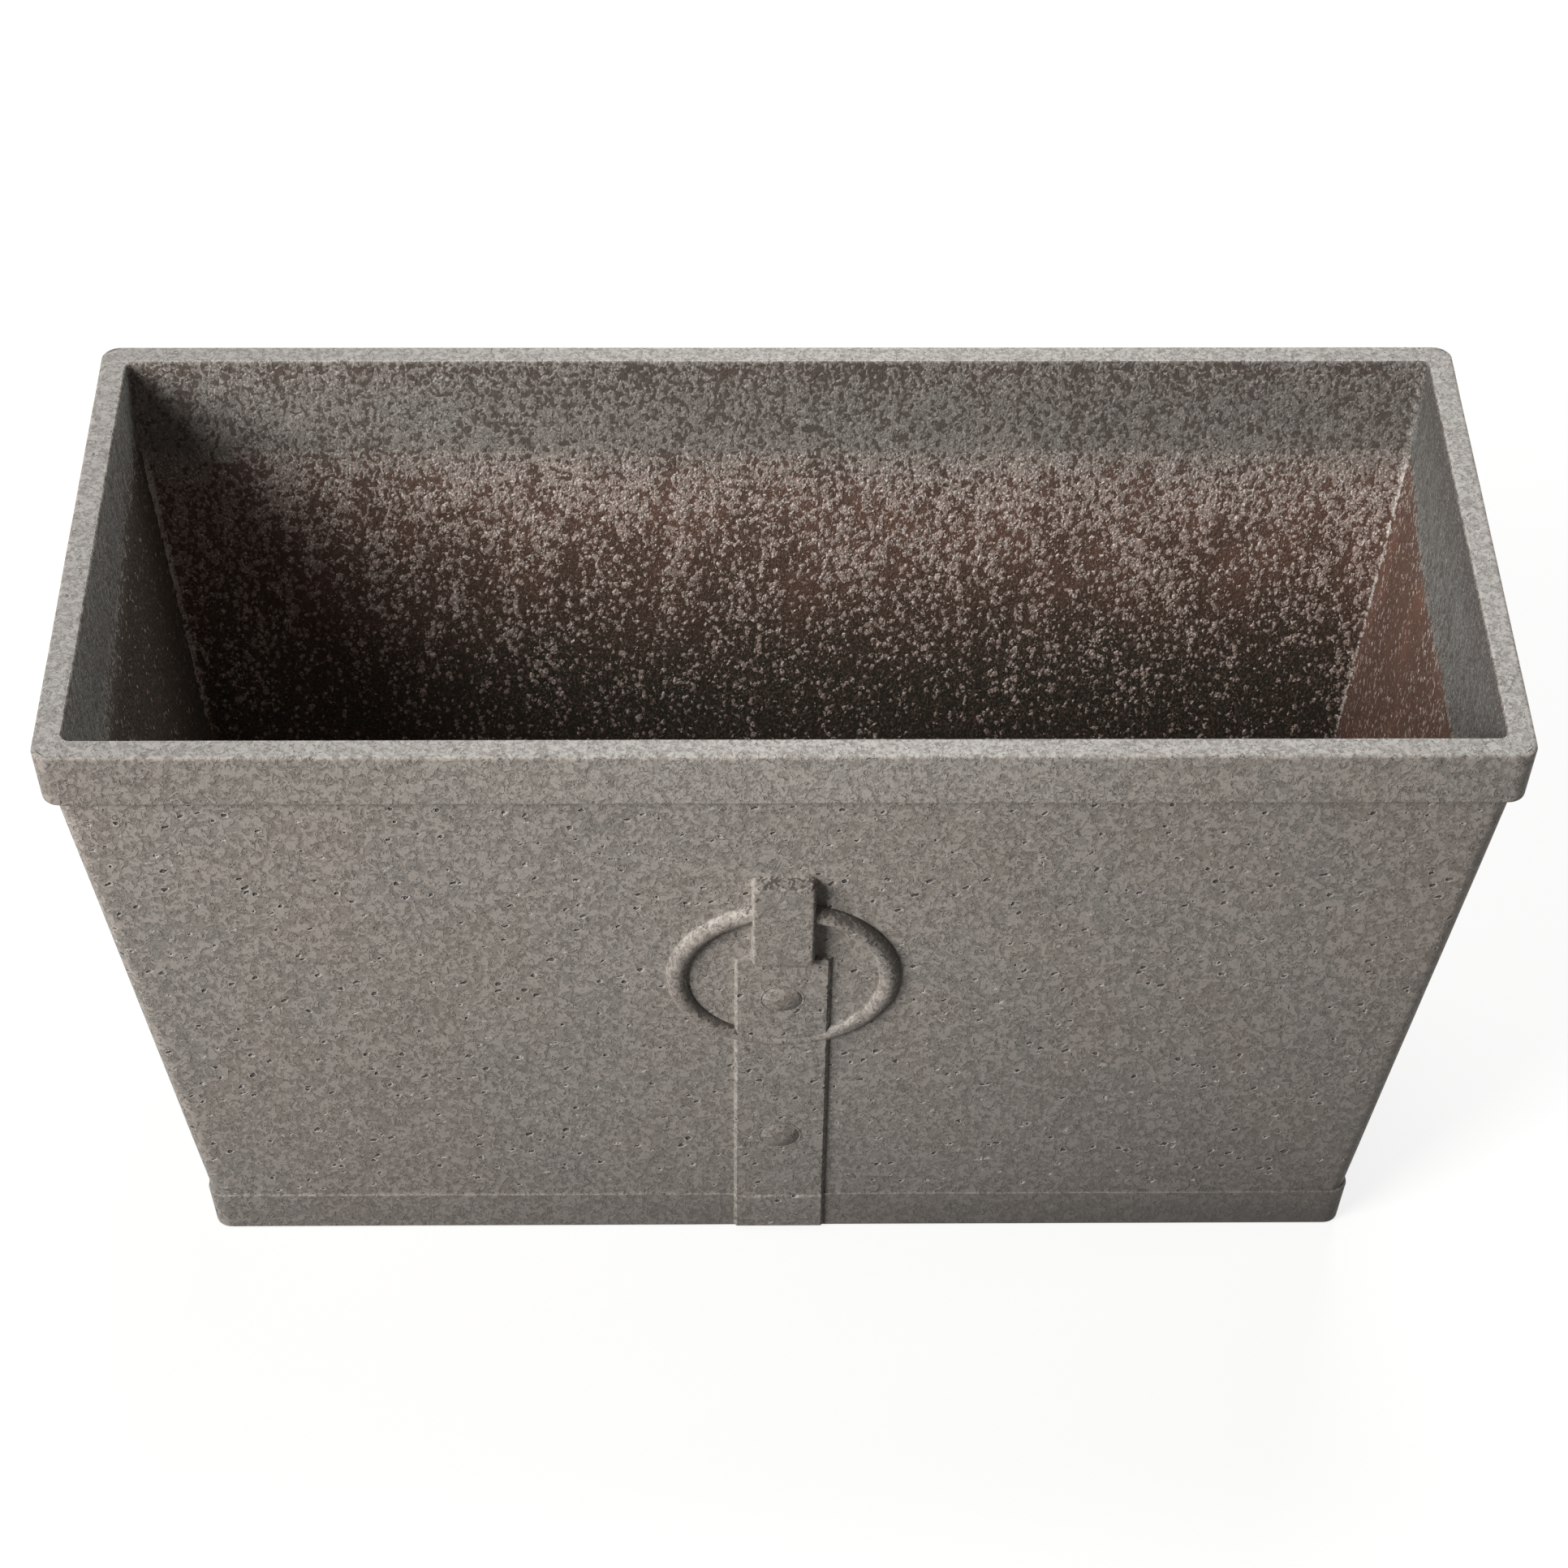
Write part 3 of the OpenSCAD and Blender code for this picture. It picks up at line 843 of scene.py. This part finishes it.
# Per piece: pits, the shares of painted highlight (towards the gun, about the middle and centre of
# the front, on left edges) and how far upward faces count as missed
PLAIN = {"pits": 0.1, "painted_highlight": 1.0, "middle": 0.0, "centre": 0.0, "left_edge_highlight": (0.0, 0.2, 0.8)}
RIVET = {"shaded": 0.0, "left_edge_highlight": (1.2, 0.02, 0.3)}
TRAITS = {
    "tub_moulding": {"pits": 1.0, "middle": 0.62, "centre": 0.8},
    "rim_band_moulding": {"middle": 2.9},
    "plinth_moulding": {"painted_highlight": 3.4, "middle": 0.45},
    "front_strap_moulding": {"pits": 0.9, "shaded": 0.0, "middle": 0.62, "centre": 0.8,
                             "left_edge_highlight": (1.5, 0.2, 0.8)},
    "ring_clip_moulding": {"shaded": 0.45, "painted_highlight": 0.0, "middle": 0.3, "centre": 0.9,
                           "left_edge_highlight": (1.5, 0.2, 0.8)},
    "ring_moulding": {"pits": 0.2, "shaded": 0.6, "painted_highlight": 2.5},
    "upper_rivet_head": RIVET,
    "lower_rivet_head": RIVET,
}
# Widths of the painted highlight about the middle of the front, and place and width of its fine
# line along the rim's inner edge
MIDDLE_W, CENTRE_W, HIGHLIGHT_IN, HIGHLIGHT_W = 180.0, 100.0, 10.4, 0.6
# Painted shade by height, strongest at the ground
LOW_Z, LOW_SHADE = [0, BASE_H, 90, 210], [0.54, 0.37, 0.19, 0.02]
MISSED, MISSED_LEVEL = [0.1, 0.25, 0.7], [0.32, 0.45, level_for(0.35)]


def missed_by_gun(piece, at, facing, shaded):
    """How far a point of the relief faces away from the gun: 0.8 nx + a share of nz,
    and on the ring more towards its upper right."""
    missed = 0.8 * facing[:, 0] + shaded * facing[:, 2]
    if piece is ring:
        upper_right = (at[:, 0] + at[:, 2] - RING_Z) / RING_D * 1.45
        missed += 0.5 * np.clip(upper_right, 0, 1) ** 4
    return missed


def painted_highlight_outside(piece, at, facing, traits):
    """Painted highlight outside, laid on as pale paint: a smooth step of the way a point
    faces the gun, plus one for left edges, plus two bell curves exp(-(x / width)^2)
    about the middle of the front, and on the rim a fine line along its inner edge."""
    x, y, z = at.T
    gain, low, high = traits["left_edge_highlight"]
    painted_highlight = traits["painted_highlight"] * ease(facing @ GUN, 0.3, 0.95)
    painted_highlight += gain * ease(-facing[:, 0], low, high)
    painted_highlight += traits["middle"] * np.exp(-(x / MIDDLE_W) ** 2)
    painted_highlight += traits["centre"] * np.exp(-(x / CENTRE_W) ** 2)
    if piece is rim:
        from_edge = np.minimum(RIM_W / 2 - np.abs(x), RIM_D / 2 - np.abs(y))
        rim_edge_highlight = np.exp(-((from_edge - HIGHLIGHT_IN) / HIGHLIGHT_W) ** 2)
        painted_highlight += 1.6 * rim_edge_highlight * (z > TOTAL_H - 0.5)
    return painted_highlight


def painted_shade_outside(piece, at, facing, missed):
    """Painted shade outside, laid on as dark paint: low down and more so to the right,
    more on the plinth, on the left of the rim, on the upper edge of the clip, on the
    ring's sides that face away from the gun and as a painted shadow round its foot, and
    in the groove and at the lower right of the rivets."""
    x, _, z = at.T
    height = (at - ring_place) @ wall_out
    painted_shade = np.interp(z, LOW_Z, LOW_SHADE) * (1 + 0.6 * x / 300)
    if piece is plinth:
        painted_shade += 0.10
    if piece is rim:
        painted_shade += (0.16 + 0.09 * (facing[:, 2] > 0.9)) * np.clip(-x / 250, 0, 1)
    if piece is clip:
        painted_shade += 0.22 * ease(facing[:, 2], 0.1, 0.7)
    if piece is ring:
        painted_shade += 0.45 * ease(missed, 0.2, 0.8) + 0.45 * (height < 0.9)
    if piece in rivets.values():
        painted_shade += 0.8 * (height < STRAP_T)
        painted_shade += 0.4 * ease(0.7 * facing[:, 0] - 0.7 * facing[:, 2], 0.11, 0.25)
    return painted_shade


print("pieces with traits of their own:", len(TRAITS))

# %% Marks on every piece
BROWN, BROWN_END, BROWN_LEVELS = 0.64, 0.95, (-0.575, -0.490)
stone_pieces = [tub, ribs, rim, plinth, strap, clip, ring, *rivets.values()]
for piece in stone_pieces:
    traits = {**PLAIN, **TRAITS.get(piece.name, {})}
    at, facing = read_points(piece, "co") / MM, read_points(piece, "normal")
    x, _, z = at.T
    inside = inside_of(at) & (piece in (tub, rim))
    under = (z < FLOOR_Z - FLOOR_T / 2) & inside | (piece is ribs)
    hidden = inside | under
    on_end, closed = end_walls(at, facing, inside)
    corner_light = painted_corner_light(at, facing, inside)
    level, film = spray_inside(at, inside, under, on_end, closed, corner_light)
    # The bare resin darkens with depth and is nearly black on the left end: partly its own tone,
    # partly painted shade
    brown = BROWN * ease(-level, *BROWN_LEVELS) * (1 - on_end) + BROWN_END * (x > 0) * on_end
    missed = missed_by_gun(piece, at, facing, traits.get("shaded", 0.0))
    if "shaded" in traits:
        level = np.interp(missed, MISSED, MISSED_LEVEL)
    # Painted shade inside: darker to the right on the closed film, and on the right end just under
    # the rim
    painted_shade_inside = 0.18 * film * np.clip(x / 300, 0, 1) + 0.45 * on_end * (x > 0) * ease(z, 298, 330)
    values = {
        "bare_level": level,
        "brown": brown,
        "film": film,
        "inside": hidden,
        "painted_highlight": np.where(hidden, corner_light, painted_highlight_outside(piece, at, facing, traits)),
        "painted_shade": np.where(hidden, painted_shade_inside, painted_shade_outside(piece, at, facing, missed)),
        "on_end": on_end * closed,
        "pits": np.where(hidden, 0, traits["pits"]),
    }
    for name in MARKS:
        attribute = piece.data.attributes.new(name, "FLOAT", "POINT")
        attribute.data.foreach_set("value", np.asarray(values[name], np.float32))
    print(piece.name, "inside points:", int(inside.sum()), "level up to", level.max().round(3))

# %% [markdown]
# ## Colours and nodes
# Colours are written as sRGB hex values, as one picks them from a picture, and one
# function turns them into the linear values that a shader works with. A material
# could be clicked together by hand, but then nobody could read why it looks as it
# does. So one more function adds a node of any kind, fills its inputs and returns
# its output, and each line below says what a node is for. A finish is mostly coats
# of colour over a base, so a loop over such coats is the third helper.

# %% Helpers for materials
PLUS, TIMES, TIMES_PLUS, MINUS, LARGER, SMALLER = (
    {"operation": name}
    for name in ("ADD", "MULTIPLY", "MULTIPLY_ADD", "SUBTRACT", "MAXIMUM", "MINIMUM"))
SMOOTH = {"interpolation_type": "SMOOTHSTEP"}


def linear(hex_colour):
    """sRGB hex to linear RGBA: c/12.92 below 0.04045, else ((c+0.055)/1.055)^2.4."""
    c = np.array([int(hex_colour[i:i + 2], 16) for i in (1, 3, 5)]) / 255
    return (*np.where(c <= 0.04045, c / 12.92, ((c + 0.055) / 1.055) ** 2.4), 1.0)


def empty_tree(owner):
    """The node tree of a material or world, with its first nodes taken out."""
    owner.use_nodes = True
    owner.node_tree.nodes.clear()
    return owner.node_tree


def add(kind, *inputs, out=None, **named):
    """Adds a node of that kind to the tree and returns its first output, or the one
    named. Inputs are filled in order, or by name with a capital letter. Names in small
    letters are the node's settings. A socket is linked, and anything else is typed in."""
    node = tree.nodes.new("ShaderNode" + kind)
    for name, value in named.items():
        if name[0].islower():
            setattr(node, name, value)
    filled = list(zip([socket for socket in node.inputs if socket.enabled], inputs))
    filled += [(node.inputs[name], value) for name, value in named.items() if name[0].isupper()]
    for socket, value in filled:
        if isinstance(value, bpy.types.NodeSocket):
            tree.links.new(value, socket)
        else:
            socket.default_value = linear(value) if isinstance(value, str) else value
    if out:
        return node.outputs[out]
    return next((socket for socket in node.outputs if socket.enabled), None)


def coated(base, *coats):
    """Lays coats over a base colour, one after the other. Each coat is a colour and
    then shares, whose product says how far it covers what lies below."""
    for colour, share, *others in coats:
        for other in others:
            share = add("Math", share, other, **TIMES)
        base = add("Mix", share, base, colour, data_type="RGBA")
    return base


def per_metre(size_mm):
    """Scale for a pattern whose features are that many millimetres wide."""
    return 1000 / size_mm


print("mid grey in linear light:", round(float(linear("#808080")[0]), 3))

# %% [markdown]
# ## Sprayed stone on brown resin
# The real finish is a speckled acrylic enamel, spattered in two tones over moulded
# brown polyethylene. Closed spray is a grey skin with pinkish and greenish patches a
# few centimetres wide. In it lie paler flakes of about 4 mm with fine dark lines along
# their edges, and darker chips between them. Thin spray leaves round drops of 1 to 3 mm
# with the brown between them. Drops stand up a little and shine more than the resin.
# Pale and dark paint also stand in for light: painted highlights, glints and cool light,
# and painted shade. All parts of the moulding share this one material, because the real
# ones got the same coat, and it is made of noise in object space, so that flakes and
# patches run on from part to part.

# %% Sprayed stone
stone = bpy.data.materials.new("speckled_enamel_on_brown_resin")
tree = empty_tree(stone)
place = add("TexCoord", out="Object")
bare_level, brown, film, inside, painted_highlight, painted_shade, on_end, pits = (
    add("Attribute", attribute_name=name, out="Fac") for name in MARKS)
# Patterns are stretched a little along z, as wet paint runs down
run_down = add("Mapping", place, Scale=(1.0, 1.0, 0.76))
streak_place = add("Mapping", place, Scale=(1.0, 1.0, 0.14))
print(stone.name, "reads", len(MARKS), "marks")

# %% Patterns
# Each noise: where it lies, size in millimetres, detail, roughness and distortion
NOISES = {
    "drift": (run_down, 50.0, 1, 0.5, 0.0),
    "streaks": (streak_place, 7.0, 0, 0.5, 0.0),
    "medium": (run_down, 4.2, 1, 0.6, 0.0),
    "swirls": (run_down, 2.3, 1, 0.5, 0.5),
    "reddish": (run_down, 38.0, 3, 0.5, 0.0),
    "grit": (run_down, 1.3, 1, 0.5, 0.0),
    "dust": (run_down, 6.0, 2, 0.5, 0.0),
    "greenish": (run_down, 60.0, 3, 0.5, 0.5),
    "flakes": (run_down, 3.9, 3, 0.66, 0.7),
    "chips": (run_down, 2.4, 2, 0.5, 0.6),
    "sand": (run_down, 1.2, 2, 0.6, 0.0),
    "painted_glints": (run_down, 0.9, 1, 0.5, 0.0),
    "end_streaks": (streak_place, 3.5, 1, 0.5, 0.0),
}
# The heights between which a smooth step cuts a noise into patches
CUTS = {"reddish": (0.42, 0.62), "grit": (0.52, 0.60), "greenish": (0.42, 0.58),
        "flakes": (0.466, 0.494), "chips": (0.54, 0.57), "sand": (0.40, 0.62),
        "painted_glints": (0.58, 0.63), "end_streaks": (0.38, 0.62)}
noise = {}
for name, (lies, size, detail, rough, twist) in NOISES.items():
    noise[name] = add("TexNoise", lies, per_metre(size), detail, rough, Distortion=twist)
cut = {name: add("MapRange", noise[name], *heights, **SMOOTH) for name, heights in CUTS.items()}
print(len(noise), "noises, of which cut into patches:", ", ".join(cut))

# %% The drops
LARGE_DROP, FINE_DROP = 3.4, 1.7
RAGGED, RAGGED_BY, PIT_RAGGED_BY = 2.4, 0.0027, 0.0026
ragged = add("TexNoise", place, per_metre(RAGGED), 1.0, out="Color")
drop_place = add("VectorMath", ragged, (RAGGED_BY,) * 3, run_down, **TIMES_PLUS)
large_drops, fine_drops = (
    add("TexVoronoi", drop_place, per_metre(size)) for size in (LARGE_DROP, FINE_DROP))
from_drop = add("Math", large_drops, add("Math", fine_drops, 0.10, **PLUS), **SMALLER)
# Both fields keep the mean and the spread that level_for works with
drop_base = add("Math", noise["medium"], 0.18, 0.623, **TIMES_PLUS)
drop_field = add("Math", from_drop, -0.456, drop_base, **TIMES_PLUS)
swirl_base = add("Math", noise["medium"], 0.22, **TIMES)
swirl_field = add("Math", noise["swirls"], 0.78, swirl_base, **TIMES_PLUS)
# Closed film breaks up in swirls, thin spray in round drops
partly = add("MapRange", bare_level, 0.535, 0.455, 0.0, 0.6, **SMOOTH)
flaky = add("Math", film, partly, **LARGER)
landing = add("Mix", flaky, drop_field, swirl_field)
print("drops of", LARGE_DROP, "and", FINE_DROP, "mm")

# %% Where drops cover the resin
streaks = add("Math", noise["streaks"], 0.14, -0.07, **TIMES_PLUS)
drift = add("Math", noise["drift"], 0.06, -0.03, **TIMES_PLUS)
drift = add("Math", drift, streaks, **PLUS)
over_level = add("Math", landing, bare_level, **MINUS)
above = add("Math", drift, inside, over_level, **TIMES_PLUS)
inner_film = add("Math", film, inside, **TIMES)
edge_gain = add("Math", inner_film, -0.6, 1.0, **TIMES_PLUS)
paint = add("MapRange", add("Math", above, edge_gain, **TIMES), -0.010, 0.012, **SMOOTH)
dome = add("Math", add("Math", above, -0.012, **LARGER), 0.13, **SMALLER)
raised = add("Math", inside, add("Math", film, -0.75, 1.0, **TIMES_PLUS), **TIMES)
print("nodes that place the paint:", len(tree.nodes))

# %% The resin
reddish = add("Math", cut["reddish"], 0.70, 0.30, **TIMES_PLUS)
# Resin from nearly black to brown: the darkening with depth is partly painted shade
resin = coated(
    "#39352c",
    ("#5a473c", brown),
    ("#7b594b", reddish, brown),
    ("#80695c", cut["grit"], 0.42),
    # Under closed film the gaps are dusted with grey
    (coated("#57504a", ("#6e6761", noise["dust"])), film),
)
print("nodes with the resin:", len(tree.nodes))

# %% The enamel, coat by coat
FLAKE_EDGE = 0.476
thin_share = add("Math", film, -0.75, 0.75, **TIMES_PLUS)
# How far the painted highlight covers, and the sand that goes with it
highlight_share = add("Math", painted_highlight, add("Math", inside, 0.68, 0.25, **TIMES_PLUS), **TIMES)
sand_share = add("Math", painted_highlight, 0.05, 0.20, **TIMES_PLUS)
# Level faces get a cooler tint, painted as light from above
upward = add("SeparateXYZ", add("NewGeometry", out="Normal"), out="Z")
painted_cool_light = add("MapRange", upward, 0.90, 0.98, 0.0, 0.40, **SMOOTH)
# Dark lines follow the edges of the flakes and break off here and there
off_edge = add("Math", noise["flakes"], FLAKE_EDGE, **MINUS)
off_edge = add("Math", off_edge, operation="ABSOLUTE")
near_edge = add("MapRange", off_edge, 0.018, 0.004, **SMOOTH)
broken = add("MapRange", noise["medium"], 0.42, 0.56, 0.25, 1.0, **SMOOTH)
enamel = coated(
    "#a3998f",
    ("#9e9991", cut["greenish"]),
    ("#c3b9b0", cut["flakes"], 0.68),  # paler flakes
    ("#b99f93", thin_share),  # thin drops look pinkish
    ("#7a7a75", inner_film, 0.66),  # closed film inside is a cooler grey
    (coated("#5f6766", ("#7d8483", cut["end_streaks"])), on_end, 0.7),  # greenish ends, darker in part as painted shade
    (coated("#c7c0b6", ("#f0eae5", inside)), highlight_share),  # painted highlight, as pale paint and paler flakes
    ("#d2cbc1", cut["flakes"], highlight_share, 0.50),
    ("#b3b5b5", painted_cool_light),  # painted cool light on level faces
    ("#746a63", cut["chips"], 0.42),
    ("#544c46", near_edge, broken, 0.88),
    ("#7c746d", cut["sand"], sand_share),
    # Painted shade, as dark paint
    ("#4e4a47", painted_shade),
    ("#f6ebe3", cut["painted_glints"], raised, 0.95),  # painted glints on the drops
)
print("nodes with the enamel:", len(tree.nodes))

# %% Pits
# A stretched cell pattern, turned by 32 degrees: each cell holds one pit of its own size
PIT_CELL = 7.6
turned_place = add("Mapping", place, Rotation=(0.0, math.radians(-32), 0.0),
                   Scale=(1.28, 1.1, 0.92), vector_type="TEXTURE")
pit_place = add("VectorMath", ragged, (PIT_RAGGED_BY,) * 3, turned_place, **TIMES_PLUS)
from_pit = add("TexVoronoi", pit_place, per_metre(PIT_CELL))
pit_size = add("Math", from_pit.node.outputs["Color"], 0.5, **MINUS)
pit_reach = add("Math", pit_size, 0.12, from_pit, **TIMES_PLUS)
hollow = add("MapRange", pit_reach, 0.155, 0.04, **SMOOTH)
outer_lip = add("MapRange", pit_reach, 0.20, 0.15, **SMOOTH)
inner_lip = add("MapRange", pit_reach, 0.13, 0.08, **SMOOTH)
pit_depth_and_shade = add("Math", hollow, pits, **TIMES)
pit_lip_highlight = add("Math", add("Math", outer_lip, inner_lip, **MINUS), pits, **TIMES)
print("pits lie about", PIT_CELL, "mm apart")

# %% Relief and finish
BARE_ROUGHNESS, DROP_GLOSS = 0.60, 0.35
grain_share = add("Math", raised, 0.55, 0.15, **TIMES_PLUS)
RELIEF = [  # height in millimetres
    (add("Math", noise["sand"], grain_share, **TIMES), 1.0),
    (cut["flakes"], 0.24),
    (cut["chips"], -0.12),
    (add("Math", dome, raised, **TIMES), 4.8),
    (pit_depth_and_shade, -2.0),
]
relief = 0.0
for pattern, millimetres in RELIEF:
    relief = add("Math", pattern, millimetres, relief, **TIMES_PLUS)
bump = add("Bump", Height=relief, Distance=MM, Strength=1.0)
colour = coated(
    resin,
    (enamel, paint),
    # Painted highlight as a pale ring on each pit's lip, and painted shade in its hollow
    ("#e2dad2", pit_lip_highlight, 0.80),
    ("#3d3732", pit_depth_and_shade, 0.75),
)
wet = add("Math", paint, raised, **TIMES)
roughness = add("Math", wet, -DROP_GLOSS, BARE_ROUGHNESS, **TIMES_PLUS)
# Acrylic and polyethylene both have an IOR of 1.5. A dusty coat mirrors less than that
add("OutputMaterial", add("BsdfPrincipled", Roughness=roughness, Normal=bump, IOR=1.5,
                          **{"Base Color": colour, "Specular IOR Level": 0.3}))
print(stone.name, "has", len(tree.nodes), "nodes")

# %% [markdown]
# ## Moulded rubber
# The plugs are black EPDM rubber, pressed in an eroded steel mould. It is matt, has
# fine grain from the mould, and greys a little in patches as it ages.

# %% Rubber
# Real eroded grain is about 0.1 mm. It is drawn coarser, so that it shows
BLOOM, EROSION = 6.0, 0.7
rubber = bpy.data.materials.new("moulded_black_rubber")
tree = empty_tree(rubber)
place = add("TexCoord", out="Object")
bloom = add("MapRange", add("TexNoise", place, per_metre(BLOOM), 3, 0.6), 0.35, 0.7, **SMOOTH)
erosion = add("TexNoise", place, per_metre(EROSION), 2, 0.5)
bump = add("Bump", Height=erosion, Distance=0.15 * MM, Strength=0.5)
roughness = add("MapRange", bloom, 0.0, 1.0, 0.62, 0.78, **SMOOTH)
add("OutputMaterial", add("BsdfPrincipled", Roughness=roughness, Normal=bump, IOR=1.52,
                          **{"Base Color": coated("#1c1b1a", ("#2d2b29", bloom))}))
print(rubber.name, "has", len(tree.nodes), "nodes")

# %% [markdown]
# ## Pieces and bodies
# Each piece rides on its CAD body and stands for its CAD node. The ribs belong to
# the tub.

# %% Pieces ride on their bodies
stands_for = [
    (tub, "planter", "tub", "stone_spray"),
    (ribs, "planter", "tub", "stone_spray"),
    (rim, "planter", "rim_band", "stone_spray"),
    (plinth, "planter", "base_band", "stone_spray"),
    (strap, "planter", "front_strap", "stone_spray"),
    (clip, "planter", "ring_clip", "stone_spray"),
    (ring, "planter", "ring_pull", "stone_spray"),
    (rivets["upper_rivet"], "planter", "upper_rivet", "stone_spray"),
    (rivets["lower_rivet"], "planter", "lower_rivet", "stone_spray"),
    (plugs["drain_plug_left"], "left_plug", "drain_plug_left", "plug_rubber"),
    (plugs["drain_plug_right"], "right_plug", "drain_plug_right", "plug_rubber"),
]
for piece, body, node_name, slot_name in stands_for:
    piece.data.materials.append(stone if slot_name == "stone_spray" else rubber)
    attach(piece, body)
    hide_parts(node_name)
    print(piece.name, "rides on", body, "for", node_name)

# %% [markdown]
# ## The studio
# The planter stands on a plain pale floor under four soft lamps. A bright floor would
# light the planter from below, so only the camera, mirrors and glass see it white:
# for soft light it is a grey floor, and the surroundings are nearly black. Near the
# planter the white floor is part paper and part glow, so that it keeps the shadow,
# and farther off it is all glow, so that no horizon shows in low views.

# %% Floor
FLOOR_REACH, NEAR, FAR = 6.0, 0.6, 1.6
corners = [(-1, -1), (1, -1), (1, 1), (-1, 1)]
floor_mesh = bpy.data.meshes.new("studio_floor")
floor_mesh.from_pydata([(x * FLOOR_REACH, y * FLOOR_REACH, 0) for x, y in corners],
                       [], [(0, 1, 2, 3)])
floor = bpy.data.objects.new("studio_floor", floor_mesh)
floor.location.z = -0.0004
bpy.context.scene.collection.objects.link(floor)


def seen_plainly():
    """1 for rays from the camera, a mirror or through glass, and 0 for soft light."""
    rays = add("LightPath").node.outputs
    direct = add("Math", rays["Is Camera Ray"], rays["Is Glossy Ray"], **LARGER)
    return add("Math", direct, rays["Is Transmission Ray"], **LARGER)


paper = bpy.data.materials.new("matt_studio_paper")
tree = empty_tree(paper)
from_middle = add("VectorMath", add("TexCoord", out="Object"), operation="LENGTH")
near_white = add("AddShader", add("BsdfDiffuse", "#8c8c8a"), add("Emission", "#ffffff", 0.80))
far_share = add("MapRange", from_middle, NEAR, FAR, **SMOOTH)
white = add("MixShader", far_share, near_white, add("Emission", "#ffffff", 1.0))
add("OutputMaterial", add("MixShader", seen_plainly(), add("BsdfDiffuse", "#2e2e2d"), white))
floor_mesh.materials.append(paper)
print(paper.name, "has", len(tree.nodes), "nodes")

# %% World
FILL = 0.02
world = bpy.data.worlds.new("studio")
bpy.context.scene.world = world
tree = empty_tree(world)
fill = add("Background", "#ffffff", FILL)
add("OutputWorld", add("MixShader", seen_plainly(), fill, add("Background", "#ffffff", 1.0)))
print("world fills shadows with strength", FILL)

# %% Lamps
AIM = np.array([0.0, 0.0, 0.18])
LAMPS = [
    ("left_front_softbox", -50, 29, 2.8, 1.35, 87.0),
    ("rear_top_softbox", 162, 62, 2.4, 1.2, 36.0),
    ("right_softbox", 100, 5, 2.8, 0.5, 14.0),
    ("back_softbox", 180, 5, 2.8, 0.5, 14.0),
]


def softbox(name, azimuth, elevation, distance, size, watts):
    """A square area lamp that looks at the planter from an azimuth (0 in front, minus
    to the left) and an elevation, in degrees."""
    a, h = math.radians(azimuth), math.radians(elevation)
    way = np.array([math.sin(a) * math.cos(h), -math.cos(a) * math.cos(h), math.sin(h)])
    data = bpy.data.lights.new(name, "AREA")
    data.shape = "SQUARE"
    data.size = size
    data.energy = watts
    lamp = bpy.data.objects.new(name, data)
    lamp.location = Vector(AIM + way * distance)
    lamp.rotation_euler = Vector(way).to_track_quat("Z", "Y").to_euler()
    bpy.context.scene.collection.objects.link(lamp)
    return lamp


for lamp_values in LAMPS:
    lamp = softbox(*lamp_values)
    print(lamp.name, "shines with", lamp.data.energy, "W")
bpy.context.scene.view_settings.view_transform = "Standard"
